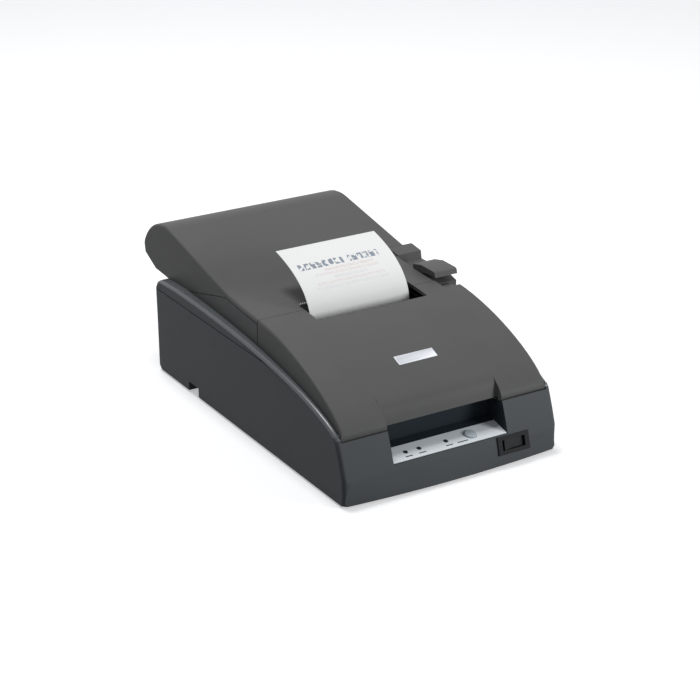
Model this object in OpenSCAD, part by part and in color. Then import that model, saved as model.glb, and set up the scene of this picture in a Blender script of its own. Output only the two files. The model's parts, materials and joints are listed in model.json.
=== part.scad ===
// Receipt printer: an impact printer for 76 mm paper, with a ribbon cover that tips forward
// and a paper roll cover that tips back. X to the right, Y to the rear, +Z up, in mm.

/* [Body] */
// Width of the lower case
body_w = 160; // [156:1:170]
// Depth from the front face to the back of the paper roll cover
body_d = 290; // [288:1:296]
// How far the paper roll cover reaches behind the case
overhang = 35; // [33:0.5:36]
// Wall of the moulded case and covers
wall = 2.5; // [2.2:0.1:2.8]
// Radius of the bow of the front face, seen from above
bow_r = 820; // [700:20:1200]
// How far the front face leans back up to the parting line
face_lean = 12.5; // [11:0.5:13]
// Height of the parting line between lower case and printer cover
part_z = 42.5; // [42:0.5:43.5]
// Height of the shoulder that the covers stand in
shoulder_z = 70; // [69:0.5:71]
// Height of the rubber feet under the case
foot_h = 1.5; // [1:0.5:2.5]
// Radius of a rubber foot
foot_r = 8; // [6:1:9]

/* [Covers] */
// Half width of the covers at the front parting line
side_front = 76.5; // [76:0.1:76.6]
// Half width of the covers at the back of the case
side_rear = 71.8; // [71.4:0.1:72]
// Distance from the front of the case to the line where the two covers meet
meet_d = 119; // [118:0.5:120]
// Height of the covers where they meet
meet_z = 83.3; // [82.5:0.1:84]
// Slope of the paper roll cover's roof in degrees
roof_slope = 11.5; // [11:0.5:12]
// Gap left between the covers and round them
gap = 0.4; // [0.3:0.05:0.5]
// Radius of the bead that the printer cover tips on
bead_r = 2.6; // [2.4:0.1:2.8]
// Radius of the two bead pins
bead_pin_r = 1.25; // [1:0.05:1.4]
// Radius of the steel pins of the paper roll cover
hinge_pin_r = 2; // [1.5:0.1:2.2]
// Running clearance between a pin or shaft and its hole
fit = 0.05; // [0.03:0.01:0.08]

/* [Paper] */
// Width of the paper
paper_w = 76; // [70:1:77]
// Thickness that the paper strip is drawn with
paper_t = 0.3; // [0.3:0.05:0.4]
// Radius of the paper roll
roll_r = 38; // [30:1:39]
// Radius of the roll's core tube
core_r = 9; // [7:1:11]
// How far the upright paper run stands in front of that line
paper_in = 5; // [4.8:0.1:5.3]
// Radius of the trough that the roll lies in
trough_r = 42.5; // [42:0.5:43]

/* [Front panel] */
// Left end of the panel recess
recess_x0 = -43.5; // [-45:0.5:-42]
// Right end of the panel recess
recess_x1 = 42; // [41:0.5:43]
// Height of the recess floor at the front face
recess_z = 21; // [20:0.5:22]
// Depth of the recess from the front of the case
recess_d = 27; // [25:0.5:27.5]
// Radius of the paper feed button
button_r = 4; // [3:0.5:5]
// Travel of the paper feed button
button_travel = 0.8; // [0.5:0.1:1]
// Width of the power switch frame
switch_w = 24; // [22:1:25]
// Height of the power switch frame
switch_h = 12; // [11:0.5:12.5]

/* [Mechanism] */
// X of the inner faces of the two side plates
plate_x = 62; // [61:0.5:62.5]
// Thickness of the sheet steel side plates
plate_t = 1.5; // [1.2:0.1:1.8]
// Height of the chassis plate above the table
chassis_z = 12; // [11.8:0.2:12.4]
// Radius of the print head's steel shaft
shaft_r = 3; // [2.5:0.1:3.2]
// Radius of the rubber feed roller
feed_r = 6; // [5.6:0.1:6.2]
// Radius of the pinch roller
pinch_r = 4; // [3.5:0.1:4.4]
// Module of the gear teeth
gear_m = 0.8; // [0.78:0.01:0.82]
// Radius of the carriage belt pulleys
pulley_r = 6; // [5.5:0.1:6.2]
// Travel of the print head from side to side
head_travel = 62; // [56:1:62]

/* [Hidden] */

$fn = 48;
e = 0.02;
front_y = -body_d / 2;
rear_y = body_d / 2;
case_d = body_d - overhang;
case_rear = front_y + case_d;
part_y = front_y + face_lean;
meet_y = front_y + meet_d;
paper_y = meet_y - paper_in;
trough_y = front_y + case_d * 193 / 255;
bead = [part_y + bead_r, part_z];
floor_z = foot_h + wall;
// Half width of the covers at a given Y
function side_x(y) = side_front + (side_rear - side_front) * (y - part_y) / (case_rear - part_y);

dark = "#3c3e40";
black = "#1b1c1e";
steel = "#b4b8bb";
zinc = "#9a9fa3";
white = "#f2f2ee";
board = "#2e6b3e";

// ---- curves of the outer skin, as [y, z] points ----

function bez(a, b, c, d, n) = [for (i = [0:n]) let (t = i / n, s = 1 - t)
    s * s * s * a + 3 * s * s * t * b + 3 * s * t * t * c + t * t * t * d];
function arc(c, r, a0, a1, n) = [for (i = [0:n]) let (a = a0 + (a1 - a0) * i / n)
    [c[0] + r * cos(a), c[1] + r * sin(a)]];
function rev(p) = [for (i = [len(p) - 1:-1:0]) p[i]];
// A curve moved by d to its left hand side, for a wall of even thickness
function shift_left(p, d) = [for (i = [0:len(p) - 1]) let (
    a = p[max(i - 1, 0)], b = p[min(i + 1, len(p) - 1)], v = (b - a) / norm(b - a))
    p[i] + d * [-v[1], v[0]]];

// Front face of the lower case, from the bottom up
function face_curve(n = 8) = [for (i = [0:n]) let (t = i / n)
    [front_y + face_lean * pow(t, 1.35), foot_h + (part_z - foot_h) * t]];
// Shoulder of the lower case, from the front parting line to the back
shoulder_end = [case_rear - 30, shoulder_z];
function shoulder_curve(n = 14) = concat(bez([part_y, part_z], [part_y + 12, part_z + 10],
    [front_y + 85, shoulder_z], shoulder_end, n), [[case_rear - 6, shoulder_z - 1.2],
    [case_rear - 1.5, shoulder_z - 3.4], [case_rear, shoulder_z - 6]]);
// Height of the shoulder, and Y of the front face, at a given place
function ledge_z(y) = lookup(y, shoulder_curve());
function face_y(z) = front_y + face_lean * pow((z - foot_h) / (part_z - foot_h), 1.35);
// Top of the printer cover, from the meeting line down to the parting line
function cover_curve(n = 18) = bez([meet_y, meet_z], [meet_y - 56, meet_z - 2.2], [part_y - 0.4, part_z + 11],
    [part_y, part_z], n);
// The same with the middle drawn in above the panel recess
lip = [part_y + 4.2, part_z - 0.4];
function scoop_curve() = concat([for (p = cover_curve()) if (p[0] > part_y + 18) p],
    bez(cover_curve()[12], cover_curve()[12] + [-7, -3.4], lip + [2.2, 9], lip, 6));
// Roof of the roll cover, from the meeting line back, round the end and in below
knee = [meet_y + 38, meet_z + 1.8];
end_r = 38;
tip_r = 7;
end_a = 60;
roof_run = rear_y - tip_r - (end_r - tip_r) * sin(end_a) - end_r * sin(roof_slope) - knee[0];
roof_top = knee + [roof_run, roof_run * tan(roof_slope)];
end_c = roof_top + end_r * [sin(roof_slope), -cos(roof_slope)];
tip_c = end_c + (end_r - tip_r) * [sin(end_a), cos(end_a)];
function roof_curve() = concat(bez([meet_y, meet_z], knee - [14, 0.7], knee + [-4, -0.4],
    knee + [14, 14 * tan(roof_slope)], 6), arc(end_c, end_r, 90 + roof_slope, 90 - end_a, 14),
    arc(tip_c, tip_r, 76 - end_a, -66, 6));
// Height just inside the roof's wall at a Y in its rear arc
function roof_under(y) = end_c[1] + sqrt(pow(end_r - wall, 2) - pow(y - end_c[0], 2)) + 0.6;
skin_end = [case_rear + 16, shoulder_z - 1];
hinge = [case_rear + 7, shoulder_z + 6];
// Lower edge of the roll cover's sides
diag_low = [case_rear - 40, shoulder_z + 0.6];
diag_high = [knee[0] + 6, meet_z + 0.6];

// ---- helpers ----

// Profile in the YZ plane, extruded along X between x0 and x1
module along_x(x0, x1) {
    translate([x0, 0, 0]) rotate([90, 0, 90]) linear_extrude(x1 - x0) children();
}
module box(x0, x1, y0, y1, z0, z1) {
    translate([x0, y0, z0]) cube([x1 - x0, y1 - y0, z1 - z0]);
}
module rod_x(x0, x1, y, z, r) {
    translate([x0, y, z]) rotate([0, 90, 0]) cylinder(h = x1 - x0, r = r);
}
module rod_y(y0, y1, x, z, r) {
    translate([x, y0, z]) rotate([-90, 0, 0]) cylinder(h = y1 - y0, r = r);
}
module rod_z(z0, z1, x, y, r) {
    translate([x, y, z0]) cylinder(h = z1 - z0, r = r);
}
// Plan of the covers, inset by d, between two Y values
module plan(d, y0, y1) {
    polygon([[side_x(y0) - d, y0], [side_x(y1) - d, y1], [d - side_x(y1), y1], [d - side_x(y0), y0]]);
}
// Both sides of something drawn on the right
module pair() {
    children();
    mirror([1, 0, 0]) children();
}
module gear_2d(teeth) {
    r = gear_m * teeth / 2;
    root = r - 1.1 * gear_m;
    tip = r + 0.85 * gear_m;
    a = 360 / teeth;
    polygon([for (i = [0:teeth - 1]) for (k = [[root, -0.32], [r, -0.22], [tip, -0.1], [tip, 0.1], [r, 0.22],
        [root, 0.32]]) [k[0] * cos((i + k[1]) * a), k[0] * sin((i + k[1]) * a)]]);
}

// ---- lower case and what is fixed in it ----

case_bosses = [for (x = [-56, 56]) for (y = [37, 107]) [x, front_y + y]];
board_bosses = [for (x = [-47, 47]) for (y = [47, 97]) [x, front_y + y]];
bay_bosses = [for (x = [14 - body_w / 2, body_w / 2 - 14]) for (y = [trough_y - 28, case_rear - 20]) [x, y]];
boss_h = 2.5;
notch_y = [case_rear - 61, case_rear - 47];
notch_z = foot_h + 6.5;
notch_in = 12;
feet_at = [for (x = [16 - body_w / 2, body_w / 2 - 16]) for (y = [front_y + 28, case_rear - 34]) [x, y]];
recess_back = front_y + recess_d;
panel_front = front_y + 5;
panel_l = 15;
panel_rise = 3.2;
panel_a = atan(panel_rise / panel_l);
panel_run = norm([panel_l, panel_rise]);
recess_rise = (recess_back - panel_front) * panel_rise / panel_l;
floor_t = 1.6;
switch_x = recess_x1 + 3.2;
switch_z = 14.5;
switch_a = 15;
switch_body = [switch_w - 5, switch_h - 3.4];
io_x = 50;
io_z = [12, 46];
plate_screw_at = [[-52, 18], [52, 18], [-52, 40], [52, 40]];
door_at = [0, front_y + 73];
door = [40, 18];
door_t = 1.7;
groove_z = shoulder_z - 8.5;
lug_x = [58, 63];
lug_r = 4.5;

// Places children on the sloping panel: x along it, y up its slope, z out of it
module on_panel(x, up) {
    translate([x, panel_front, recess_z]) rotate([panel_a, 0, 0]) translate([0, up, 0]) children();
}
// Places children on the front face at the power switch: x along it, y into the case, z up it
module on_switch() {
    translate([switch_x, face_y(switch_z), switch_z]) rotate([-switch_a, 0, 0]) children();
}
module case_outline() {
    polygon(concat(face_curve(), shoulder_curve(), [[case_rear, foot_h + 2], [case_rear - 2, foot_h]]));
}
module case_cavity() {
    face = shift_left(face_curve(), -wall);
    under = [for (p = shoulder_curve()) if (p[0] > part_y + 8) [min(p[0], case_rear - wall), p[1] - 3]];
    polygon(concat([for (p = face) if (p[1] > floor_z + 2) p], [[part_y + wall + 1, part_z + 2]], under,
        [[case_rear - wall, floor_z], [face[0][0] + 1, floor_z]]));
}
// The bowed front face, as the front of a wide upright cylinder
module bow(d) {
    translate([0, front_y + bow_r, -1]) cylinder(h = 130, r = bow_r - d, $fn = 720);
}
module case_shell() {
    difference() {
        intersection() {
            along_x(-body_w / 2, body_w / 2) case_outline();
            bow(0);
        }
        intersection() {
            along_x(wall - body_w / 2, body_w / 2 - wall) case_cavity();
            bow(wall);
        }
        translate([0, 0, part_z]) linear_extrude(60) plan(-0.3, part_y - 4, case_rear - wall);
    }
}
// The recess above the label: a sloping floor, a back wall and two ends
module recess_walls() {
    along_x(recess_x0 - floor_t, recess_x1 + floor_t) polygon([[panel_front - 0.8, recess_z - floor_t],
        [recess_back + floor_t, recess_z - floor_t + recess_rise], [recess_back + floor_t, part_z - 1],
        [recess_back, part_z - 1], [recess_back, recess_z + recess_rise], [panel_front, recess_z]]);
    for (x = [recess_x0 - floor_t, recess_x1]) along_x(x, x + floor_t)
        polygon([[panel_front + 1, recess_z - floor_t], [recess_back + e, recess_z - floor_t + recess_rise],
            [recess_back + e, part_z - 5], [part_y + 1, part_z - 5]]);
    for (x = [recess_x0 + 6, button_x + 8]) on_panel(x, panel_run / 2)
        translate([0, 0, -board_drop]) cylinder(h = board_drop - floor_t / 2, r = 1.8);
}
module recess_cut() {
    along_x(recess_x0, recess_x1) polygon([[front_y - 10, recess_z - 1.2], [panel_front, recess_z],
        [recess_back, recess_z + recess_rise], [recess_back, part_z + 30], [front_y - 10, part_z + 30]]);
    for (x = lens_x) on_panel(x, panel_run / 2) cylinder(h = 9, r = lens_r + fit, center = true);
    on_panel(button_x, panel_run / 2) {
        cylinder(h = 12, r = stem_r + 0.3, center = true);
        translate([0, 0, -button_travel - 0.3]) cylinder(h = 9, r = button_r + 0.3);
    }
}
// Lug that holds one steel pin of the roll cover
module case_lug() {
    difference() {
        along_x(lug_x[0], lug_x[1]) hull() {
            translate(hinge) circle(lug_r);
            translate([case_rear - wall, shoulder_z - 18]) square([wall, 10]);
        }
        rod_x(lug_x[0] - 1, lug_x[1] + 1, hinge[0], hinge[1], hinge_pin_r + 0.02);
    }
}
module lower_case() {
    color(dark) difference() {
        union() {
            case_shell();
            // hinge bosses for the printer cover, inside the shoulder
            intersection() {
                pair() rod_x(side_front + 0.3, body_w / 2, bead[0], bead[1], 4);
                along_x(-body_w / 2, body_w / 2) case_outline();
            }
            recess_walls();
            pair() case_lug();
            // posts for the chassis, the board and the roll bay
            for (p = case_bosses) rod_z(floor_z - e, chassis_z, p[0], p[1], 4);
            for (p = board_bosses) rod_z(floor_z - e, floor_z + boss_h, p[0], p[1], 3);
            for (p = bay_bosses) rod_z(floor_z - e, chassis_z, p[0], p[1], 4);
            // stiffening ribs across the floor
            for (y = [33, 59, 87])
                box(-46, 46, front_y + y - 0.8, front_y + y + 0.8, floor_z - e, floor_z + 1.6);
            // roof and walls of the cable notches
            pair() box(body_w / 2 - notch_in - 1.5, body_w / 2 - 1, notch_y[0] - 1.5, notch_y[1] + 1.5,
                floor_z - e, notch_z + 1.5);
        }
        // bead seat along the front parting line, and the bores of its two pins
        rod_x(-side_front - 0.3, side_front + 0.3, bead[0], bead[1], bead_r + 0.3);
        box(-side_front - 0.3, side_front + 0.3, part_y - 3, part_y + 1, part_z - 1.7, part_z + 2);
        pair() rod_x(side_front - 1, side_front + bead_pin_l + 0.2, bead[0], bead[1], bead_pin_r + fit);
        recess_cut();
        on_switch() translate([-switch_body[0] / 2 - 0.2, -6, -switch_body[1] / 2 - 0.2])
            cube([switch_body[0] + 0.4, 14, switch_body[1] + 0.4]);
        pair() box(body_w / 2 - notch_in, body_w / 2 + 1, notch_y[0], notch_y[1], 0, notch_z);
        box(-io_x, io_x, case_rear - wall - 1, case_rear + 1, io_z[0], io_z[1]);
        // moulded line along the upper side walls
        pair() box(body_w / 2 - 0.5, body_w / 2 + 1, meet_y - 16, case_rear + 1, groove_z - 0.5,
            groove_z + 0.5);
        for (p = concat(case_bosses, bay_bosses)) rod_z(foot_h - 1, chassis_z + 1, p[0], p[1], screw_r);
        for (p = concat(case_bosses, bay_bosses)) rod_z(foot_h - 1, foot_h + 1, p[0], p[1], head_r + 0.2);
        for (p = plate_screw_at) rod_y(case_rear - wall - 1, case_rear + 1, p[0], p[1], 1.6);
        // rebate and opening for the setting switches, in the bottom
        translate([door_at[0], door_at[1], 0]) {
            box(-door[0] / 2, door[0] / 2, -door[1] / 2, door[1] / 2, 0, foot_h + door_t + 0.1);
            box(2 - door[0] / 2, door[0] / 2 - 2, 2 - door[1] / 2, door[1] / 2 - 2, 0, floor_z + 1);
        }
        // air slots behind the chassis
        for (x = [-30:6:30]) box(x - 1, x + 1, case_rear - 42, case_rear - 22, foot_h - 1, floor_z + 1);
    }
}
module rubber_feet() {
    color(black) for (p = feet_at) rod_z(0, foot_h, p[0], p[1], foot_r);
}
module switch_door() {
    color(dark) difference() {
        translate([door_at[0], door_at[1], 0])
            box(0.3 - door[0] / 2, door[0] / 2 - 0.3, 0.3 - door[1] / 2, door[1] / 2 - 0.3, foot_h,
                foot_h + door_t);
        // two finger notches at the ends
        for (x = [-1, 1]) rod_z(0, foot_h + 0.8, door_at[0] + x * (door[0] / 2 - 4), door_at[1], 2.5);
    }
}
screw_r = 1.5;
head_r = 2.8;
module bottom_screws() {
    color(steel) for (p = concat(case_bosses, bay_bosses)) {
        rod_z(foot_h + 0.05, foot_h + 0.95, p[0], p[1], head_r);
        rod_z(foot_h + 0.9, chassis_z - 1, p[0], p[1], screw_r - 0.02);
    }
}

// ---- front panel ----

label_t = 0.5;
lens_x = [-30, -20, 0];
lens_r = 1.5;
button_x = 18.5;
stem_r = 2.4;
board_drop = 6.5;
board_t = 1.6;
module panel_label() {
    color("#d5dfe3") difference() {
        on_panel(0, 0) translate([recess_x0 + 0.3, 0.3, 0])
            cube([recess_x1 - recess_x0 - 0.6, panel_run - 0.6, label_t]);
        for (x = lens_x) on_panel(x, panel_run / 2) cylinder(h = 6, r = lens_r + 0.1, center = true);
        on_panel(button_x, panel_run / 2) cylinder(h = 6, r = button_r + 0.3, center = true);
    }
}
module status_lenses() {
    color("#8fb7a0") for (x = lens_x) on_panel(x, panel_run / 2)
        translate([0, 0, -floor_t]) cylinder(h = floor_t + label_t + 0.3, r = lens_r);
}
module feed_button() {
    color("#c8d2d8") on_panel(button_x, panel_run / 2) {
        cylinder(h = label_t + 1, r = button_r);
        translate([0, 0, 1 - board_drop + button_travel + 0.2])
            cylinder(h = board_drop - button_travel - 1, r = stem_r);
    }
}
module panel_board() {
    color(board) on_panel(0, panel_run / 2) {
        translate([recess_x0 + 3, -6, -board_drop - board_t])
            cube([button_x + 9 - recess_x0, 12, board_t]);
        // key switch under the button, and the three lamps
        translate([button_x - 3, -3, -board_drop - e]) cube([6, 6, 1]);
        for (x = lens_x) translate([x, 0, -board_drop - e]) cylinder(h = board_drop - floor_t - 0.3, r = 1.4);
    }
}
module switch_frame() {
    color(black) on_switch() difference() {
        union() {
            translate([-switch_w / 2, -0.8, -switch_h / 2]) cube([switch_w, 0.8, switch_h]);
            translate([-switch_body[0] / 2, -0.1, -switch_body[1] / 2])
                cube([switch_body[0], 13, switch_body[1]]);
            for (x = [-6, 0, 6]) translate([x - 0.4, 12.9, -2.4]) cube([0.8, 4, 4.8]);
        }
        translate([0.9 - switch_body[0] / 2, -2, 0.9 - switch_body[1] / 2])
            cube([switch_body[0] - 1.8, 11, switch_body[1] - 1.8]);
        translate([0, rocker_y, -9]) cylinder(h = 18, r = rocker_pin_r + fit);
    }
}
rocker_y = 3.6;
rocker_pin_r = 1;
rocker_a = 7;
module power_rocker() {
    half = switch_body[0] / 2 - 1.7;
    high = switch_body[1] - 2.2;
    color("#2b2d30") on_switch() translate([0, rocker_y, 0]) rotate([0, 0, rocker_a]) {
        translate([0, 0, -high / 2]) linear_extrude(high)
            polygon([[-half, -rocker_y], [0, 1.2 - rocker_y], [half, -rocker_y], [half * 0.7, 4],
                [-half * 0.7, 4]]);
        translate([0, 0, 0.3 - switch_body[1] / 2]) cylinder(h = switch_body[1] - 0.6, r = rocker_pin_r);
    }
}

// ---- printer cover, tipping forward on its bead ----

slot_x = [-paper_w / 2 - 1.5, paper_w / 2 + 6];
slot_front = meet_y - 17.5;
slot_rear = meet_y + 7;
bead_pin_l = 2.4;
rib_x = [-58, 58];
dish_d = 4;
dish_r = 24;
dish_c = [meet_y - 1, meet_z - dish_d + dish_r];
module skin(curve, t = wall) {
    polygon(concat(curve, rev(shift_left(curve, t))));
}
// What lies under a curve, down to a low line, for walls that close the shell's sides
module under(curve, low) {
    polygon(concat(curve, low));
}
cover_low = [for (p = shoulder_curve()) if (p[0] > part_y + 5 && p[0] < meet_y - 2) p - [0, 2]];
last_low = cover_low[len(cover_low) - 1];
cover_foot = concat([[bead[0] + bead_r - 0.4, bead[1]]], cover_low, [[meet_y - gap, last_low[1]]]);
module printer_cover() {
    color(dark) difference() {
        union() {
            intersection() {
                linear_extrude(120) plan(0, part_y - 4, meet_y - gap);
                union() {
                    for (x = [[-90, recess_x0], [recess_x1, 90]]) {
                        along_x(x[0], x[1]) skin(cover_curve());
                        rod_x(max(x[0], 0.3 - side_front), min(x[1], side_front - 0.3), bead[0], bead[1],
                            bead_r);
                    }
                    along_x(recess_x0, recess_x1) skin(scoop_curve());
                    // ends of the scoop, and stiffening ribs
                    for (x = [recess_x0 - floor_t, recess_x1]) along_x(x, x + floor_t)
                        under([for (p = cover_curve()) if (p[0] < part_y + 24) p],
                            [lip + [2.5, 1], [part_y + 20, part_z + 13]]);
                    for (x = rib_x) along_x(x - 0.8, x + 0.8) skin([for (p = cover_curve())
                        if (p[0] > part_y + 42 && p[0] < meet_y - 2) p], 6);
                    // lip below the front edge of the paper slot
                    box(slot_x[0], slot_x[1], slot_front - 2, slot_front + e, meet_z - 9, meet_z - 2);
                    // thickening below the finger dish
                    intersection() {
                        rod_x(lever_x[0] - wall, 90, dish_c[0], dish_c[1], dish_r + wall);
                        along_x(0, 90) under(cover_curve(), cover_foot);
                    }
                }
            }
            intersection() {
                along_x(-90, 90) under(cover_curve(), cover_foot);
                linear_extrude(120) difference() {
                    plan(0, part_y - 4, meet_y - gap);
                    plan(wall, part_y - 8, meet_y + 4);
                }
            }
            pair() rod_x(side_front - wall, side_front + bead_pin_l, bead[0], bead[1], bead_pin_r);
        }
        box(slot_x[0], slot_x[1], slot_front, meet_y + 5, part_z, meet_z + 9);
        // shallow dish that gives a finger room under the lever
        rod_x(lever_x[0], side_front + 2, dish_c[0], dish_c[1], dish_r);
        // seat of the badge plate
        on_badge() translate([-badge[0] / 2 - 0.1, -badge[1] / 2 - 0.1, -badge_sink])
            cube([badge[0] + 0.2, badge[1] + 0.2, 5]);
    }
}
badge = [29, 7.6];
badge_sink = 0.6;
badge_p = cover_curve()[8];
badge_q = cover_curve()[9];
badge_a = atan((badge_p[1] - badge_q[1]) / (badge_p[0] - badge_q[0]));
module on_badge() {
    middle = (badge_p + badge_q) / 2;
    translate([0, middle[0], middle[1]]) rotate([badge_a, 0, 0]) children();
}
module badge_plate() {
    color("silver") on_badge() translate([-badge[0] / 2, -badge[1] / 2, -badge_sink])
        cube([badge[0], badge[1], 1]);
}

// ---- roll bay, the moulding that the paper roll lies in ----

bay_x = paper_w / 2 + 1.5;
trough_low = floor_z + 2;
trough_c = [trough_y, trough_low + trough_r];
deck_z = shoulder_z - 5.5;
cheek_y = meet_y + gap;
function trough_line(r) = concat([[trough_y - r, deck_z + 2]], arc(trough_c, r, 180, 360, 40),
    [[trough_y + r, deck_z + 2]]);
cheek_top = [for (p = shift_left(roof_curve(), -wall - gap))
    if (p[0] > cheek_y + 1 && p[0] < diag_high[0] - 2) p];
block_x = [side_x(meet_y) - 14, body_w / 2 - 0.6];
block_y = [cheek_y, meet_y + 56];
block_top = meet_z - 1.5;
module roll_bay() {
    color(dark) difference() {
        union() {
            along_x(-bay_x - 2, bay_x + 2)
                polygon(concat(trough_line(trough_r + 2), rev(trough_line(trough_r))));
            pair() along_x(bay_x, bay_x + 2) polygon(trough_line(trough_r + 2));
            // deck between the bay and the outer cheeks
            pair() intersection() {
                box(bay_x, 90, meet_y + 14, case_rear - 18, deck_z, deck_z + 2);
                linear_extrude(120) plan(1, meet_y + 12, case_rear - 14);
            }
            pair() for (p = bay_bosses) if (p[0] > 0) rod_z(chassis_z + 0.05, deck_z + 1, p[0], p[1], 4);
            pair() for (y = [trough_y - 42, trough_y, case_rear - 20])
                box(bay_x, 69, y, y + 1.6, deck_z - 8, deck_z + e);
            // outer cheeks, flush with the covers
            intersection() {
                difference() {
                    along_x(-90, 90) polygon(concat([[cheek_y, deck_z + 0.5],
                        [cheek_y, meet_z - wall - gap - 0.2]],
                        cheek_top, [diag_high - [0.1, gap], diag_low - [0.5, gap],
                        [diag_low[0] - 0.5, deck_z], [meet_y + 14, deck_z]]));
                    box(block_x[0], 90, cheek_y - 1, block_y[1] - 1, ledge_z(cheek_y), 100);
                }
                linear_extrude(120) difference() {
                    plan(0, cheek_y - 4, case_rear - 10);
                    plan(wall, cheek_y - 8, case_rear - 6);
                }
            }
            lever_block();
            for (z = [16.6, 31])
                box(sensor_at[0] - 3, -bay_x - 1, sensor_at[1] - 3, sensor_at[1] + 3, z, z + 2.8);
        }
        // slot that the paper leaves the trough by
        box(-bay_x, bay_x, trough_y - 34, trough_y - 1, floor_z, trough_low + 14.5);
        // window for the roll sensor lever
        box(-bay_x - 3, -bay_x + 1, trough_y - 4, trough_y + 16, 20, 31);
        rod_z(17, 35, sensor_at[0], sensor_at[1], sensor_pin_r + fit);
        rod_x(block_x[0] + 1, block_x[1] - 1, lever_at[0], lever_at[1], lever_pin_r + fit);
    }
}
// Block right of the paper slot that carries the cover lever
module lever_block() {
    difference() {
        along_x(block_x[0], block_x[1]) polygon(concat([[block_y[0], block_top - 2],
            [block_y[0] + 8, block_top], [block_y[1] - 13, block_top], [block_y[1] - 12, meet_z + 4],
            [block_y[1], meet_z + 5.6]], [for (i = [10:-1:0]) let (y = block_y[0] + 5.6 * i)
            [y, ledge_z(y) + gap]]));
        box(lever_x[0] + 2.7, lever_x[1] - 2.7, lever_at[0] - 5, lever_at[0] + 5, lever_at[1] - 4.5,
            block_top + 1);
        box(block_x[0] + 3, block_x[1] - 3, lever_at[0] + 8, block_y[1] - 3, shoulder_z - 2, block_top - 2);
    }
}
lever_x = [block_x[0] + 0.6, block_x[1] - 0.6];
lever_at = [meet_y + 25, meet_z - 4.2];
lever_pin_r = 1.5;
lever_reach = 26.5;
module cover_lever() {
    color(dark) {
        along_x(lever_x[0], lever_x[1]) translate(lever_at) polygon([[-lever_reach, 6.2],
            [1 - lever_reach, 9.4], [3 - lever_reach, 9.9], [-9, 10], [1, 7.6], [0.5, 4.6], [-8, 4.4],
            [-18, 6.2]]);
        along_x(lever_x[0] + 3, lever_x[1] - 3) hull() {
            translate(lever_at) circle(3);
            translate(lever_at + [-2.5, 4]) square([5, 1]);
        }
        rod_x(block_x[0] + 1.4, block_x[1] - 1.4, lever_at[0], lever_at[1], lever_pin_r);
    }
}
sensor_at = [-bay_x - 5, trough_y + 20];
sensor_pin_r = 1.2;
module roll_sensor_lever() {
    color("#d8d8d0") {
        rod_z(17.2, 33.8, sensor_at[0], sensor_at[1], sensor_pin_r);
        rod_z(21, 30, sensor_at[0], sensor_at[1], 2.2);
        box(sensor_at[0] - 1, sensor_at[0] + 1, trough_y + 1, sensor_at[1], 22, 29);
        box(sensor_at[0] - 1, 0.35 - paper_w / 2 - 0.8, trough_y + 1, trough_y + 6, 22, 29);
    }
}

// ---- paper roll cover and what goes with it ----

skirt_z = shoulder_z - 2;
ear_x = [[52, lug_x[0] - 0.4], [lug_x[1] + 0.4, 69]];
skirt_low = [skin_end, [case_rear + 1.5, skirt_z + 0.4], [case_rear - wall - 0.6, skirt_z],
    [diag_low[0], skirt_z]];
rib_line = [for (p = roof_curve()) if (p[0] > meet_y + 40 && p[1] > end_c[1] + 30) p];
module roll_cover() {
    color(dark) difference() {
        union() {
            intersection() {
                linear_extrude(130) plan(0, meet_y, rear_y + 4);
                along_x(-90, 90) skin(concat(roof_curve(), [skin_end]), -wall);
            }
            // side skirts, tucked inside the shoulder of the lower case
            intersection() {
                linear_extrude(130) difference() {
                    plan(0, meet_y, rear_y + 4);
                    plan(wall, meet_y - 4, rear_y + 8);
                }
                along_x(-90, 90) polygon(concat([for (p = roof_curve()) if (p[0] > diag_high[0]) p],
                    skirt_low, [diag_low, diag_high]));
            }
            // ears that turn on the two steel pins
            for (s = [-1, 1]) for (x = ear_x) along_x(s > 0 ? x[0] : -x[1], s > 0 ? x[1] : -x[0])
                polygon(concat([[hinge[0] - 5, roof_under(hinge[0] - 5)]], arc(hinge, 4.5, 180, 360, 12),
                    [[hinge[0] + 5, roof_under(hinge[0] + 5)]]));
            // stiffening ribs under the roof
            for (x = [-44, -15, 15, 44]) along_x(x - 0.8, x + 0.8)
                polygon(concat(shift_left(rib_line, -1), rev(shift_left(rib_line, -6))));
        }
        box(slot_x[0], slot_x[1], meet_y - 2, slot_rear, part_z, meet_z + 9);
        // room for the block of the cover lever
        box(block_x[0] - gap, 90, meet_y - 2, block_y[1] + gap, 60, 110);
        pair() rod_x(ear_x[0][0] - 1, ear_x[1][1] + 1, hinge[0], hinge[1], hinge_pin_r + fit);
        pair() box(lug_x[0] - 0.4, lug_x[1] + 0.4, case_rear, case_rear + 24, 60, hinge[1] + 0.5);
    }
}
module hinge_pins() {
    color(steel) pair() rod_x(ear_x[0][0], ear_x[1][1], hinge[0], hinge[1], hinge_pin_r);
}
module tear_bar() {
    blade = slot_x[1] - 5;
    tooth = 1.6;
    color(steel) {
        translate([0, slot_rear, 0]) rotate([90, 0, 0]) linear_extrude(0.6) polygon(concat(
            [[blade, meet_z - 5.5], [-blade, meet_z - 5.5]],
            [for (x = [-blade:tooth:blade - tooth]) for (k = [[0, 0], [tooth / 2, 1]])
                [x + k[0], meet_z + 0.9 + k[1]]]));
        box(-blade, blade, slot_rear - 0.1, slot_rear + 6, meet_z - 5.5, meet_z - 4.9);
        for (x = [-blade + 2, 0, blade - 2])
            box(x - 2, x + 2, slot_rear + 2, slot_rear + 6, meet_z - 5, meet_z - 2.4);
    }
}
tail_low = [paper_y, meet_z - 7.5];
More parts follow.
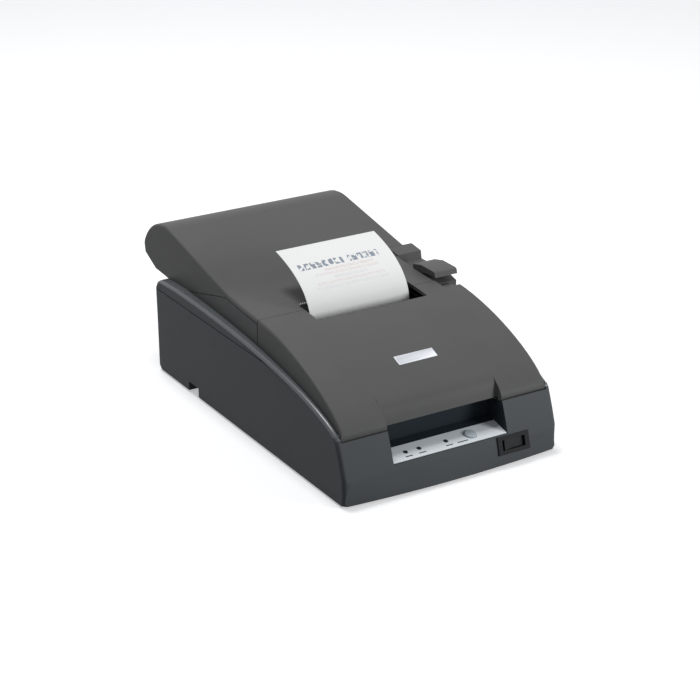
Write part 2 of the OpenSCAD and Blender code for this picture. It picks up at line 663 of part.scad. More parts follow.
module receipt_tail() {
    line = concat(bez(tail_low, [paper_y, meet_z - 0.8], [meet_y - 2, meet_z + 4.7],
        [meet_y + 3.5, meet_z + 10.5], 8), bez([meet_y + 6, meet_z + 12.6], [meet_y + 14, meet_z + 19.3],
        [meet_y + 26, meet_z + 24], [meet_y + 39.5, meet_z + 27.3], 8));
    color(white) along_x(-paper_w / 2, paper_w / 2) skin(line, -paper_t);
}

// ---- paper ----

roll_c = [trough_y, trough_low + 0.3 + roll_r];
feed = [paper_y + feed_r + 0.45, 34];
pinch = [paper_y - pinch_r - 0.45, feed[1]];
wrap_r = feed_r + 0.45;
web_r = roll_r + paper_t + 0.3;
web_v = roll_c - feed;
web_a = atan(web_v[1] / web_v[0]) - acos((wrap_r - web_r) / norm(web_v));
module paper_roll() {
    color(white) difference() {
        rod_x(-paper_w / 2, paper_w / 2, roll_c[0], roll_c[1], roll_r);
        rod_x(-paper_w, paper_w, roll_c[0], roll_c[1], core_r - 1.5);
        // the core tube stands a little clear of the wound paper
        pair() difference() {
            rod_x(paper_w / 2 - 0.6, paper_w, roll_c[0], roll_c[1], core_r + 0.8);
            rod_x(0, paper_w, roll_c[0], roll_c[1], core_r);
        }
    }
}
module paper_web() {
    line = concat(arc(roll_c, web_r, web_a + 8, web_a, 3), arc(feed, wrap_r, web_a, -180, 8),
        [[paper_y, tail_low[1] - 0.3]]);
    color(white) along_x(-paper_w / 2, paper_w / 2) skin(line, -paper_t);
}

// ---- print mechanism ----

deck_t = 1.5;
chassis_top = chassis_z + deck_t;
plate_y = [front_y + 33, meet_y + 32];
shaft_at = [meet_y - 36, 36];
rail_y = meet_y - 52;
rail_t = 1.5;
pulley_at = [45, meet_y - 70];
pulley_z = [28, 33];
belt_t = 1;
platen_z = [44, 60];
platen_y = paper_y + 0.45;
motor_at = [meet_y + 19, 30];
gear_teeth = [33, 12];
gear_x = [plate_x + plate_t + 0.6, plate_x + plate_t + 5.6];
head_x = -head_travel / 2;
head_y = meet_y - 20;
carriage_w = 36;
module chassis_plate() {
    color(zinc) difference() {
        union() {
            box(-plate_x, plate_x, plate_y[0], meet_y + 4, chassis_z, chassis_top);
            // post of the idler pulley
            rod_z(chassis_z, pulley_z[0] - 0.8, pulley_at[0], pulley_at[1], 4);
            rod_z(chassis_z, pulley_z[1] + 3, pulley_at[0], pulley_at[1], 1.5);
            // turned-up front edge
            box(-plate_x, plate_x, plate_y[0], plate_y[0] + deck_t, chassis_z, chassis_top + 6);
        }
        for (p = case_bosses) rod_z(chassis_z - 1, chassis_top + 1, p[0], p[1], 1.6);
        for (x = [-14, 14]) box(x - 10, x + 10, meet_y - 34, meet_y - 18, chassis_z - 1, chassis_top + 1);
    }
}
module side_plate() {
    difference() {
        along_x(plate_x, plate_x + plate_t) polygon([[plate_y[0], chassis_z], [plate_y[0], 44],
            [plate_y[0] + 8, cassette_z[0] - 0.3], [meet_y - 24, cassette_z[0] - 0.3], [meet_y - 15, 61],
            [meet_y + 4, 61], [meet_y + 12, 48], [plate_y[1], 46], [plate_y[1], 17],
            [meet_y + 6, chassis_z]]);
        rod_x(50, 70, shaft_at[0], shaft_at[1], shaft_r + 0.02);
        rod_x(50, 70, feed[0], feed[1], 2 + fit);
        rod_x(50, 70, pinch[0], pinch[1], 1.5 + fit);
    }
}
module left_side_plate() {
    color(zinc) mirror([1, 0, 0]) side_plate();
}
module right_side_plate() {
    color(zinc) difference() {
        side_plate();
        rod_x(50, 70, motor_at[0], motor_at[1], 3);
    }
}
module head_shaft() {
    color("#cfd3d6") rod_x(-plate_x - plate_t, plate_x + plate_t, shaft_at[0], shaft_at[1], shaft_r);
}
module guide_rail() {
    color(zinc) {
        box(-plate_x, plate_x, rail_y - rail_t / 2, rail_y + rail_t / 2, 34, 43);
        box(-plate_x, plate_x, rail_y - 6, rail_y, 34, 34 + rail_t);
    }
}
module carriage() {
    color(black) translate([head_x, 0, 0]) difference() {
        union() {
            box(-carriage_w / 2, carriage_w / 2, head_y - 25, head_y, 28, 45.9);
            // fork over the guide rail, and the clamp on the belt
            box(-9, 9, rail_y - 4, head_y - 24, 38, 45.9);
            box(-4, 4, pulley_at[1] + 3, head_y - 24, 27.6, 33.4);
        }
        rod_x(-30, 30, shaft_at[0], shaft_at[1], shaft_r + fit);
        box(-20, 20, rail_y - rail_t / 2 - 0.3, rail_y + rail_t / 2 + 0.3, 30, 43.3);
        box(-20, 20, pulley_at[1] + pulley_r - 0.3, pulley_at[1] + pulley_r + belt_t + 0.3, 27, 32.7);
        // lightening pockets
        pair() box(8, 16, head_y - 7, head_y + 1, 27, 42);
    }
}
module print_head() {
    color(zinc) translate([head_x, 0, 0]) {
        box(-12, 12, head_y - 18, head_y, 45.9, 50);
        // cooling fins
        for (i = [0:5]) box(-12, 12, head_y - 18 + 3 * i, head_y - 16.8 + 3 * i, 49.9, 58);
        box(-5, 5, head_y - 4, head_y, 49.9, 58);
        // nose that the print wires come out of
        along_x(-5, 5) translate([head_y, 0]) polygon([[-0.1, 46.5], [-0.1, 58], [7.5, 56.5], [9.5, 55.5],
            [9.5, 49.5], [7.5, 48.5]]);
        box(-9, 9, head_y - 25.5, head_y - 18, 46, 47.5);
    }
}
module platen() {
    color(black) {
        box(-plate_x, plate_x, platen_y, platen_y + 3, platen_z[0], platen_z[1]);
        box(-plate_x + 8, plate_x - 8, platen_y + 2.9, platen_y + 9, platen_z[0] + 4, platen_z[0] + 5.5);
    }
}
module feed_roller() {
    color(black) {
        rod_x(-plate_x - 1.4, gear_x[1] + 1, feed[0], feed[1], 2);
        for (x = [-37, 13]) rod_x(x, x + 24, feed[0], feed[1], feed_r);
        translate([gear_x[0], feed[0], feed[1]]) rotate([90, 0, 90]) linear_extrude(gear_x[1] - gear_x[0])
            gear_2d(gear_teeth[0]);
    }
}
module pinch_roller() {
    color("#8d8f92") {
        rod_x(-plate_x - 1.4, plate_x + 1.4, pinch[0], pinch[1], 1.5);
        for (x = [-37, 13]) rod_x(x, x + 24, pinch[0], pinch[1], pinch_r);
    }
}
module feed_motor() {
    color(zinc) difference() {
        union() {
            rod_x(plate_x - 17, plate_x, motor_at[0], motor_at[1], 12);
            rod_x(plate_x - 1, gear_x[1] + 0.5, motor_at[0], motor_at[1], 1);
            box(plate_x - 1, plate_x, motor_at[0] - 3, motor_at[0] + 3, motor_at[1] - 15, motor_at[1] + 15);
        }
        rod_x(plate_x - 20, plate_x - 16, motor_at[0], motor_at[1], 3);
    }
}
// Turn that sets a gap of the pinion against a tooth of the feed roller's gear
mesh_a = atan((motor_at[1] - feed[1]) / (motor_at[0] - feed[0]));
pinion_turn = 180 + mesh_a + (mesh_a * gear_teeth[0] - 180) / gear_teeth[1];
module motor_pinion() {
    color("#d9c27a") translate([gear_x[0], motor_at[0], motor_at[1]]) rotate([90, 0, 90])
        linear_extrude(gear_x[1] - gear_x[0]) difference() {
            rotate(pinion_turn) gear_2d(gear_teeth[1]);
            circle(1 + fit);
        }
}
module carriage_motor() {
    color(zinc) {
        rod_z(chassis_top, pulley_z[0] - 1.2, -pulley_at[0], pulley_at[1], 14);
        rod_z(pulley_z[0] - 2, pulley_z[1] + 1.5, -pulley_at[0], pulley_at[1], 1.5);
    }
}
module pulley(x) {
    translate([x, pulley_at[1], 0]) difference() {
        union() {
            translate([0, 0, pulley_z[0]]) cylinder(h = pulley_z[1] - pulley_z[0], r = pulley_r - 0.3);
            for (z = [pulley_z[0] - 0.4, pulley_z[1]])
                translate([0, 0, z]) cylinder(h = 0.6, r = pulley_r + 1.4);
        }
        cylinder(h = 80, r = 1.5 + fit);
    }
}
module drive_pulley() {
    color("#e4e2da") pulley(-pulley_at[0]);
}
module idler_pulley() {
    color("#e4e2da") pulley(pulley_at[0]);
}
module belt_line(r) {
    hull() {
        for (s = [-1, 1]) translate([s * pulley_at[0], pulley_at[1]]) circle(r);
    }
}
module carriage_belt() {
    color(black) translate([0, 0, pulley_z[0] + 0.6]) linear_extrude(4) difference() {
        belt_line(pulley_r + belt_t);
        belt_line(pulley_r);
    }
}
cassette_z = [49, 60.5];
cassette_y = [meet_y - 74, meet_y - 40];
cassette_x = plate_x - gap;
arm_y = paper_y - 2.4;
module ribbon_spindle() {
    color("#e4e2da") translate([pulley_at[0], pulley_at[1], 0]) difference() {
        union() {
            rod_z(pulley_z[1] + 0.6, cassette_z[1] + 0.4, 0, 0, 2.5);
            rod_z(pulley_z[1] + 0.6, pulley_z[1] + 2.6, 0, 0, 4);
        }
        cylinder(h = pulley_z[1] + 3.3, r = 1.5 + fit);
    }
}
module ribbon_knob() {
    color("#3f6f9a") translate([pulley_at[0], pulley_at[1], cassette_z[1] + 0.4]) {
        linear_extrude(2) difference() {
            circle(4.5);
            for (a = [0:45:315]) rotate(a) translate([4.9, 0]) circle(0.8);
        }
    }
}
module ribbon_cassette() {
    color(black) difference() {
        union() {
            box(-plate_x - 2.5, plate_x + 2.5, cassette_y[0], cassette_y[1], cassette_z[0], cassette_z[1]);
            for (x = [-cassette_x, cassette_x - 10])
                box(x, x + 10, cassette_y[1] - 1, arm_y, cassette_z[0], cassette_z[1]);
        }
        box(1.5 - cassette_x, cassette_x - 1.5, cassette_y[0] + 1.5, cassette_y[1] - 1.5,
            cassette_z[0] + 1.5, cassette_z[1] - 1.5);
        // mouths in the arms, where the ribbon comes out
        pair() box(cassette_x - 11, cassette_x - 8, arm_y - 2.6, arm_y - 1.2, cassette_z[0] + 1,
            cassette_z[1] - 1);
        rod_z(40, 70, pulley_at[0], pulley_at[1], 5);
        // finger grips at the front corners
        pair() box(cassette_x - 4, plate_x + 3, cassette_y[0] + 6, cassette_y[0] + 14, cassette_z[1] - 1,
            70);
        box(-30, 20, cassette_y[0] + 8, cassette_y[1] - 8, cassette_z[1] - 0.4, 70);
    }
}
module ink_ribbon() {
    color("#2c2440") box(9 - cassette_x, cassette_x - 9, arm_y - 2, arm_y - 1.8, cassette_z[0] + 1.6,
        cassette_z[1] - 1.6);
}

// ---- boards and sockets at the back ----

main_z = floor_z + boss_h;
plate_back = case_rear - wall;
io_board_y = trough_y + trough_r + 3.4;
module main_board() {
    top = main_z + board_t - e;
    color(board) difference() {
        translate([0, front_y, 0]) {
            box(-51, 51, 41, 103, main_z, main_z + board_t);
            // processor, power parts and a row of plugs
            box(-14, 10, 61, 83, top, main_z + 3.4);
            box(22, 44, 49, 55, top, main_z + 5.3);
            for (x = [-40, -30]) rod_z(top, main_z + 5, x, 79, 3.6);
            for (x = [-30:14:26]) box(x, x + 10, 97, 101.5, top, main_z + 5);
        }
        for (p = board_bosses) rod_z(0, 20, p[0], p[1], 1.5);
    }
    // block of ten setting switches, above the door in the bottom
    color(board) translate([door_at[0], door_at[1], main_z]) difference() {
        box(-13, 13, -4.5, 4.5, -1.9, e);
        for (i = [0:9]) box(2.5 * i - 12, 2.5 * i - 10.5, -2.5, 2.5, -3, -1.2);
    }
}
module interface_board() {
    color(board) {
        box(-47, 47, io_board_y, io_board_y + board_t, io_z[0] + 2, io_z[1] - 2);
        for (x = [-44, 30]) box(x, x + 12, io_board_y + board_t - e, io_board_y + board_t + 2, 16, 22);
    }
}
db_at = [-18, 30];
jack_at = [20, 29];
inlet_at = [39, 29];
module d_shape(grow) {
    w = 19.5 + grow;
    h = 4.2 + grow;
    polygon([[-w, h], [w, h], [w - 1.6, -h], [1.6 - w, -h]]);
}
module facing_back(p, y) {
    translate([p[0], y, p[1]]) rotate([-90, 0, 0]) rotate(180) children();
}
module interface_plate() {
    color(zinc) difference() {
        box(-io_x - 5, io_x + 5, plate_back - 1.2, plate_back, io_z[0] - 2, io_z[1] + 3);
        facing_back(db_at, plate_back - 2) linear_extrude(4) d_shape(0.3);
        box(jack_at[0] - 7.1, jack_at[0] + 7.1, plate_back - 2, plate_back + 1, jack_at[1] - 7.1,
            jack_at[1] + 7.1);
        rod_y(plate_back - 2, plate_back + 1, inlet_at[0], inlet_at[1], 7.1);
        for (p = plate_screw_at) rod_y(plate_back - 2, plate_back + 1, p[0], p[1], 1.42);
    }
}
module data_connector() {
    color("#c0c3c6") {
        facing_back(db_at, io_board_y + board_t) translate([-20.5, -5.2, 0])
            cube([41, 10.4, plate_back - 1.2 - io_board_y - board_t]);
        facing_back(db_at, plate_back - 1.3) linear_extrude(7) difference() {
            d_shape(0);
            d_shape(-0.6);
        }
        facing_back(db_at, plate_back - 1.3) linear_extrude(5.5) difference() {
            d_shape(-0.6);
            for (i = [0:12]) translate([i * 2.76 - 16.56, 1.42]) circle(0.6, $fn = 16);
            for (i = [0:11]) translate([i * 2.76 - 15.18, -1.42]) circle(0.6, $fn = 16);
        }
        for (s = [-23.5, 23.5]) rod_y(plate_back, plate_back + 5, db_at[0] + s, db_at[1], 2.3);
    }
}
module drawer_jack() {
    color(black) difference() {
        box(jack_at[0] - 6.8, jack_at[0] + 6.8, io_board_y + board_t, plate_back + 0.6, jack_at[1] - 6.8,
            jack_at[1] + 6.8);
        translate([jack_at[0], plate_back, jack_at[1]]) {
            box(-4.9, 4.9, -8, 2, -3, 3.8);
            box(-2, 2, -8, 2, -4.6, -2.9);
        }
    }
}
module power_inlet() {
    socket_y = io_board_y + board_t + 6;
    color(black) difference() {
        rod_y(io_board_y + board_t, plate_back + 1.5, inlet_at[0], inlet_at[1], 6.8);
        difference() {
            rod_y(socket_y, plate_back + 3, inlet_at[0], inlet_at[1], 5.8);
            rod_y(socket_y - 1, plate_back + 0.5, inlet_at[0], inlet_at[1], 4.6);
        }
        for (a = [90, 210, 330]) rod_y(socket_y + 1, plate_back + 3, inlet_at[0] + 2.4 * cos(a),
            inlet_at[1] + 2.4 * sin(a), 0.8);
    }
}
module plate_screws() {
    color(steel) for (p = plate_screw_at) {
        rod_y(plate_back - 2.4, case_rear + 0.5, p[0], p[1], 1.4);
        difference() {
            rod_y(case_rear, case_rear + 1.6, p[0], p[1], 2.7);
            box(p[0] - 2, p[0] + 2, case_rear + 0.9, case_rear + 3, p[1] - 0.4, p[1] + 0.4);
        }
    }
}

lower_case();
rubber_feet();
switch_door();
bottom_screws();
panel_label();
status_lenses();
feed_button();
switch_frame();
power_rocker();
panel_board();
printer_cover();
badge_plate();
roll_bay();
cover_lever();
roll_sensor_lever();
roll_cover();
hinge_pins();
tear_bar();
receipt_tail();
paper_roll();
paper_web();
chassis_plate();
left_side_plate();
right_side_plate();
head_shaft();
guide_rail();
carriage();
print_head();
platen();
feed_roller();
pinch_roller();
feed_motor();
motor_pinion();
carriage_motor();
drive_pulley();
idler_pulley();
carriage_belt();
ribbon_spindle();
ribbon_knob();
ribbon_cassette();
ink_ribbon();
main_board();
interface_board();
interface_plate();
data_connector();
drawer_jack();
power_inlet();
plate_screws();
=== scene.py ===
"""Looks of a receipt printer: its shells, panel, paper and print mechanism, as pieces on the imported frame."""

import json
import math

import bmesh
import bpy
from bpy.props import FloatProperty, FloatVectorProperty, PointerProperty
from mathutils import Matrix, Vector
from mathutils.bvhtree import BVHTree

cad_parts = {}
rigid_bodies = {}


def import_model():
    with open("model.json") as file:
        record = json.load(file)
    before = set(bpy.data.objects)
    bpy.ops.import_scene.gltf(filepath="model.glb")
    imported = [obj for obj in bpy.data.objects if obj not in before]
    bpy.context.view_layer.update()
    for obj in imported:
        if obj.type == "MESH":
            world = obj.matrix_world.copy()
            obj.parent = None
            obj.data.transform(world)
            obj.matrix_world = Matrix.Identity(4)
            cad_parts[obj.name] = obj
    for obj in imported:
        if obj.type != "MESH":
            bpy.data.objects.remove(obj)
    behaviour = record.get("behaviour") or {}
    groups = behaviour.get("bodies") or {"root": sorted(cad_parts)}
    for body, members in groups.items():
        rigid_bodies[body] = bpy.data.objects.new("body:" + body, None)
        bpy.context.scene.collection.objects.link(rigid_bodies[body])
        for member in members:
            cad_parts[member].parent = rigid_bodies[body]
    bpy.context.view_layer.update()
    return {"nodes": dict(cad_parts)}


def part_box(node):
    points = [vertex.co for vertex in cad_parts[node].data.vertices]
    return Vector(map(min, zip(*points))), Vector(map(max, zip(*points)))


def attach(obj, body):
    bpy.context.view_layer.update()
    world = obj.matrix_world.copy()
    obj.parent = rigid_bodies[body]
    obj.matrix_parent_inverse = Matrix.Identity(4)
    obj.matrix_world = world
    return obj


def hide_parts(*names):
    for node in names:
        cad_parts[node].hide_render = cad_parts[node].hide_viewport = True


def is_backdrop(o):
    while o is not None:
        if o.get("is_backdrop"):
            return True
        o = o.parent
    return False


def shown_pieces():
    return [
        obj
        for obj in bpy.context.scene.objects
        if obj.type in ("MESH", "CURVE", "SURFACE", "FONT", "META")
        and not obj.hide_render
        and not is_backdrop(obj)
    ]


bl_info = {
    "name": "Receipt Printer Looks",
    "version": (1, 0, 0),
    "blender": (4, 5, 0),
    "location": "3D View > Sidebar > Printer",
    "description": "Shells, panel, paper and mechanism of a counter receipt printer",
    "category": "Object",
}

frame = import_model()

MM = 0.001
BOARD_THICK = 1.6 * MM
WHITE = (1, 1, 1, 1)
FRAME_SIZE = 700
# Places in the photograph, in pixels of its 700 x 700 frame
IMAGE_POINTS = {
    "left_edge_x": (143.0, 243.0),
    "right_edge_x": (555.0, 424.0),
    "top_edge_y": (333.0, 190.0),
    "bottom_edge_y": (347.0, 507.5),
    "badge": (415.5, 355.3),
    "paper_near_left": (309.5, 313.5),
    "paper_near_right": (412.0, 296.0),
    "paper_far_left": (272.0, 251.5),
    "paper_far_right": (375.0, 231.0),
    "printed_row_left": (297.0, 268.0),
    "printed_row_right": (378.0, 252.5),
    "lever": (435.0, 268.5),
    "feed_button": (470.0, 434.0),
    "lamp_middle": (419.0, 448.5),
    "power_switch": (514.0, 442.5),
}
# Millimetres, degrees, shares of the frame, and metres
CAMERA = {"lens": 102.86, "sensor_width": 36.0, "azimuth": -31.46, "elevation": 23.15, "shift_x": 0.0,
          "shift_y": 0.0, "place": (-0.6396, -1.0632, 0.5671)}


# ---------------------------------------------------------------- colours and materials

def linear(code):
    """An sRGB hex code as linear red, green, blue and alpha."""
    parts = [int(code[i:i + 2], 16) / 255 for i in (1, 3, 5)]
    return tuple(c / 12.92 if c <= 0.04045 else ((c + 0.055) / 1.055) ** 2.4 for c in parts) + (1.0,)


def colour(name, code, words):
    return FloatVectorProperty(name=name, description=words, subtype="COLOR", size=3, min=0, max=1,
                               default=linear(code)[:3])


def length(name, millimetres, words):
    return FloatProperty(name=name, description=words, unit="LENGTH", subtype="DISTANCE", min=0,
                         default=millimetres * MM)


class PrinterFinish(bpy.types.PropertyGroup):
    """Colours of the printer's visible parts"""
    # darker and bluer than the covers though it is the same plastic: painted shade and a painted blue cast of the
    # light on the case's sides and front
    case: colour("Case", "#525658", "Moulded lower case")
    cover: colour("Covers", "#5e5e5d", "The two moulded covers and the roll bay")
    trim: colour("Trim", "#1d1e20", "Switch, cassette and other black mouldings")
    # painted shade: the recess is the case's own plastic, drawn this dark for the shade under the covers' lip
    shade_in_recess: colour("Painted recess shade", "#232b31", "Inside of the panel recess")
    label: colour("Label", "#edf3f6", "Film on the sloping panel")
    badge: colour("Badge", "#c4c7cc", "Bare badge on the front cover")
    paper: colour("Paper", "#fbfbf9", "Receipt paper")
    ink: colour("Ink", "#7f8b9b", "Printed rows on the receipt")
    mark: colour("Mark", "#39444c", "Small marks on the label")


class PrinterSizes(bpy.types.PropertyGroup):
    """Roundings of the printer's shells"""
    cover_round: length("Cover rounding", 2.0, "Radius along the upper side edges of the covers")
    case_round: length("Case rounding", 2.6, "Radius of the case's upright corners and shoulder")
    edge_round: length("Edge rounding", 0.35, "Radius left by the mould on every other edge")
    text_height: length("Print height", 5.8, "Height of the printed rows on the receipt")


def add_node(tree, kind, links=None, **settings):
    """Adds one node with its settings. links maps a socket to a value, or to (node, output)."""
    made = tree.nodes.new(kind)
    for key, value in settings.items():
        setattr(made, key, value)
    for socket, source in (links or {}).items():
        if isinstance(source, tuple) and isinstance(source[0], bpy.types.Node):
            tree.links.new(source[0].outputs[source[1]], made.inputs[socket])
        else:
            made.inputs[socket].default_value = source
    return made


def start_material(name):
    """A material with its shader, its output and its object coordinates."""
    material = bpy.data.materials.new(name)
    material.use_nodes = True
    tree = material.node_tree
    tree.nodes.clear()
    shader = add_node(tree, "ShaderNodeBsdfPrincipled")
    add_node(tree, "ShaderNodeOutputMaterial", {"Surface": (shader, "BSDF")})
    place = add_node(tree, "ShaderNodeTexCoord")
    return material, tree, shader, place


def rgba(value):
    return tuple(value)[:3] + (1.0,)


def shade(value, factor):
    return tuple(min(1.0, c * factor) for c in tuple(value)[:3]) + (1.0,)


def speckle(tree, place, size, detail=2.0, **more):
    """Noise whose patches are about size mm across."""
    return add_node(tree, "ShaderNodeTexNoise", {"Vector": (place, "Object"), "Scale": 1000 / size, "Detail": detail,
                                                 **more})


def mixed_tone(tree, factor, first, second):
    """A colour between two, by a factor: (node, output)."""
    return add_node(tree, "ShaderNodeMix", {"Factor": factor, "A": first, "B": second}, data_type="RGBA"), 2


def multiplied(tree, *values):
    return add_node(tree, "ShaderNodeMath", dict(enumerate(values)), operation="MULTIPLY"), 0


def surface(tree, shader, tone, height, strength, depth, roughness):
    """Gives a shader its colour, its relief depth mm high and its roughness: a number, or what a node gives."""
    bump = add_node(tree, "ShaderNodeBump", {"Height": height, "Strength": strength, "Distance": depth * MM})
    sources = {"Base Color": tone, "Normal": (bump, "Normal")}
    if isinstance(roughness, tuple):
        sources["Roughness"] = roughness
    else:
        shader.inputs["Roughness"].default_value = roughness
    for socket, (node, output) in sources.items():
        tree.links.new(node.outputs[output], shader.inputs[socket])


def moulded_abs(name, base, roughness=0.5, grain=0.9, depth=0.035, spread=0.06, gloss=0.11):
    """ABS moulded in a spark-eroded tool: a fine even pebble that breaks up the highlight, with faint cloudy
    differences in tone. The real grain is about 0.15 mm; it is drawn coarser, at grain mm, so that it shows."""
    material, tree, shader, place = start_material(name)
    pebble = speckle(tree, place, grain, 3.0, Roughness=0.6)
    cloud = speckle(tree, place, 45)
    both = add_node(tree, "ShaderNodeMath", {0: (pebble, "Fac"), 1: (cloud, "Fac")}, operation="ADD")
    tone = add_node(tree, "ShaderNodeValToRGB", {"Fac": multiplied(tree, (both, 0), 0.5)})
    for end, place_on_ramp, factor in ((0, 0.3, 1 - spread), (1, 0.7, 1 + spread)):
        tone.color_ramp.elements[end].position = place_on_ramp
        tone.color_ramp.elements[end].color = shade(base, factor)
    rough = add_node(tree, "ShaderNodeMapRange", {"Value": (pebble, "Fac"), "From Min": 0.3, "From Max": 0.7,
                                                  "To Min": roughness - 0.06, "To Max": roughness + 0.08})
    surface(tree, shader, (tone, "Color"), (pebble, "Fac"), 0.5, depth, (rough, "Result"))
    shader.inputs["IOR"].default_value = 1.5
    # the real grain is rougher than the drawn one and scatters much of the gloss
    shader.inputs["Specular IOR Level"].default_value = gloss
    return material


def printed_film(name, base):
    """Polycarbonate label film with a velvet finish: smooth, a little glossier than the case, printed from behind."""
    material, tree, shader, place = start_material(name)
    fine = speckle(tree, place, 1.2)
    tone = mixed_tone(tree, (fine, "Fac"), shade(base, 0.97), shade(base, 1.03))
    surface(tree, shader, tone, (fine, "Fac"), 0.2, 0.01, 0.38)
    shader.inputs["IOR"].default_value = 1.58
    return material


def rolled_steel(name, tint, roughness, metallic=1.0):
    """Sheet or bar steel: fine marks along the direction it was rolled or drawn in, under a thin plating."""
    material, tree, shader, place = start_material(name)
    stretch = add_node(tree, "ShaderNodeMapping", {"Vector": (place, "Object"), "Scale": (40.0, 900.0, 900.0)})
    marks = add_node(tree, "ShaderNodeTexNoise", {"Vector": (stretch, "Vector"), "Scale": 1.0, "Detail": 3.0})
    blotch = speckle(tree, place, 14)
    tone = mixed_tone(tree, (blotch, "Fac"), shade(tint, 0.88), shade(tint, 1.1))
    rough = add_node(tree, "ShaderNodeMapRange", {"Value": (marks, "Fac"), "From Min": 0.25, "From Max": 0.75,
                                                  "To Min": roughness - 0.08, "To Max": roughness + 0.12})
    surface(tree, shader, tone, (marks, "Fac"), 0.15, 0.01, (rough, "Result"))
    shader.inputs["Metallic"].default_value = metallic
    return material


def moulded_rubber(name, code):
    """Moulded nitrile rubber, or card as dull: nearly matt, with a dusty unevenness and no sharp highlight."""
    material, tree, shader, place = start_material(name)
    dust = speckle(tree, place, 2.5, 4.0)
    tone = mixed_tone(tree, (dust, "Fac"), shade(linear(code), 0.8), shade(linear(code), 1.3))
    surface(tree, shader, tone, (dust, "Fac"), 0.3, 0.03, 0.78)
    return material


def solder_mask(name, code):
    """Green solder mask over copper: a glossy film, with the tracks showing as slightly paler straight lines."""
    material, tree, shader, place = start_material(name)
    green = linear(code)
    tracks = add_node(tree, "ShaderNodeTexBrick", {
        "Vector": (place, "Object"), "Scale": 1000 / 6, "Color1": shade(green, 0.8), "Color2": shade(green, 1.1),
        "Mortar": shade(green, 1.8), "Mortar Size": 0.05})
    surface(tree, shader, (tracks, "Color"), (tracks, "Fac"), 0.3, 0.03, 0.3)
    return material


def wound_paper(name, base):
    """Uncoated receipt paper: white and matt. On the roll's ends its layers show as fine rings about the roll's
    axis; the real ones are 0.06 mm apart and are drawn at 0.7 mm so that they show."""
    material, tree, shader, place = start_material(name)
    axis = node_centre("paper_roll")
    centred = add_node(tree, "ShaderNodeMapping", {"Vector": (place, "Object"), "Location": tuple(-c for c in axis)})
    parts = add_node(tree, "ShaderNodeSeparateXYZ", {0: (centred, "Vector")})
    flat = add_node(tree, "ShaderNodeCombineXYZ", {1: (parts, 1), 2: (parts, 2)})
    radius = add_node(tree, "ShaderNodeVectorMath", {0: (flat, 0)}, operation="LENGTH")
    rings = add_node(tree, "ShaderNodeTexNoise", {"W": multiplied(tree, (radius, "Value"), 1000 / 0.7), "Scale": 1.0,
                                                  "Detail": 1.0}, noise_dimensions="1D")
    tone, output = mixed_tone(tree, (rings, "Fac"), shade(base, 0.86), shade(base, 1.02))
    tree.links.new(tone.outputs[output], shader.inputs["Base Color"])
    shader.inputs["Roughness"].default_value = 0.8
    return material


def printed_paper(name, base, rows):
    """Uncoated receipt paper with rows of impact print. u and v of the strip's UV map are millimetres across and
    along it. Each row is (v, height, left, right, density, tint): a band cut into letter-sized strokes that say
    nothing."""
    material, tree, shader, place = start_material(name)
    here = add_node(tree, "ShaderNodeSeparateXYZ", {0: (place, "UV")})
    fibre = add_node(tree, "ShaderNodeTexNoise", {"Vector": (place, "UV"), "Scale": 0.9, "Detail": 3.0})
    tone = mixed_tone(tree, (fibre, "Fac"), shade(base, 0.965), shade(base, 1.02))
    for v, high, left, right, density, tint in rows:
        cells = add_node(tree, "ShaderNodeMapping", {"Vector": (place, "UV"), "Scale": (2.2 / high, 2.0 / high, 1.0)})
        strokes = add_node(tree, "ShaderNodeTexNoise", {"Vector": (cells, "Vector"), "Scale": 1.0, "Detail": 0.5})
        cut = add_node(tree, "ShaderNodeMapRange", {"Value": (strokes, "Fac"), "From Min": 0.42, "From Max": 0.48,
                                                    "To Min": 0.0, "To Max": density})
        # a blank column between one letter-sized block of strokes and the next
        count = multiplied(tree, (here, 0), 1 / (high * 0.78))
        share = add_node(tree, "ShaderNodeMath", {0: count}, operation="FRACT")
        letter = add_node(tree, "ShaderNodeMath", {0: (share, 0), 1: 0.22}, operation="GREATER_THAN")
        mask = multiplied(tree, (cut, "Result"), (letter, 0))
        for part, low, top in ((1, v - high / 2, v + high / 2), (0, left, right)):
            inside = add_node(tree, "ShaderNodeMath", {0: (here, part), 1: (low + top) / 2, 2: (top - low) / 2},
                              operation="COMPARE")
            mask = multiplied(tree, mask, (inside, 0))
        tone = mixed_tone(tree, mask, tone, tint)
    surface(tree, shader, tone, (fibre, "Fac"), 0.15, 0.04, 0.75)
    return material


def inked_nylon(name, code):
    """Woven nylon ribbon soaked in ink: two crossing threads 0.25 mm apart, drawn at 0.6 mm so that they show."""
    material, tree, shader, place = start_material(name)
    threads = [add_node(tree, "ShaderNodeTexWave", {"Vector": (place, "Object"), "Scale": 1000 / 0.6 / 20},
                        bands_direction=direction) for direction in "XZ"]
    weave = add_node(tree, "ShaderNodeMath", {0: (threads[0], "Fac"), 1: (threads[1], "Fac")}, operation="MAXIMUM")
    tone = mixed_tone(tree, (weave, 0), shade(linear(code), 0.6), linear(code))
    surface(tree, shader, tone, (weave, 0), 0.4, 0.05, 0.55)
    return material


FINISHES = {}


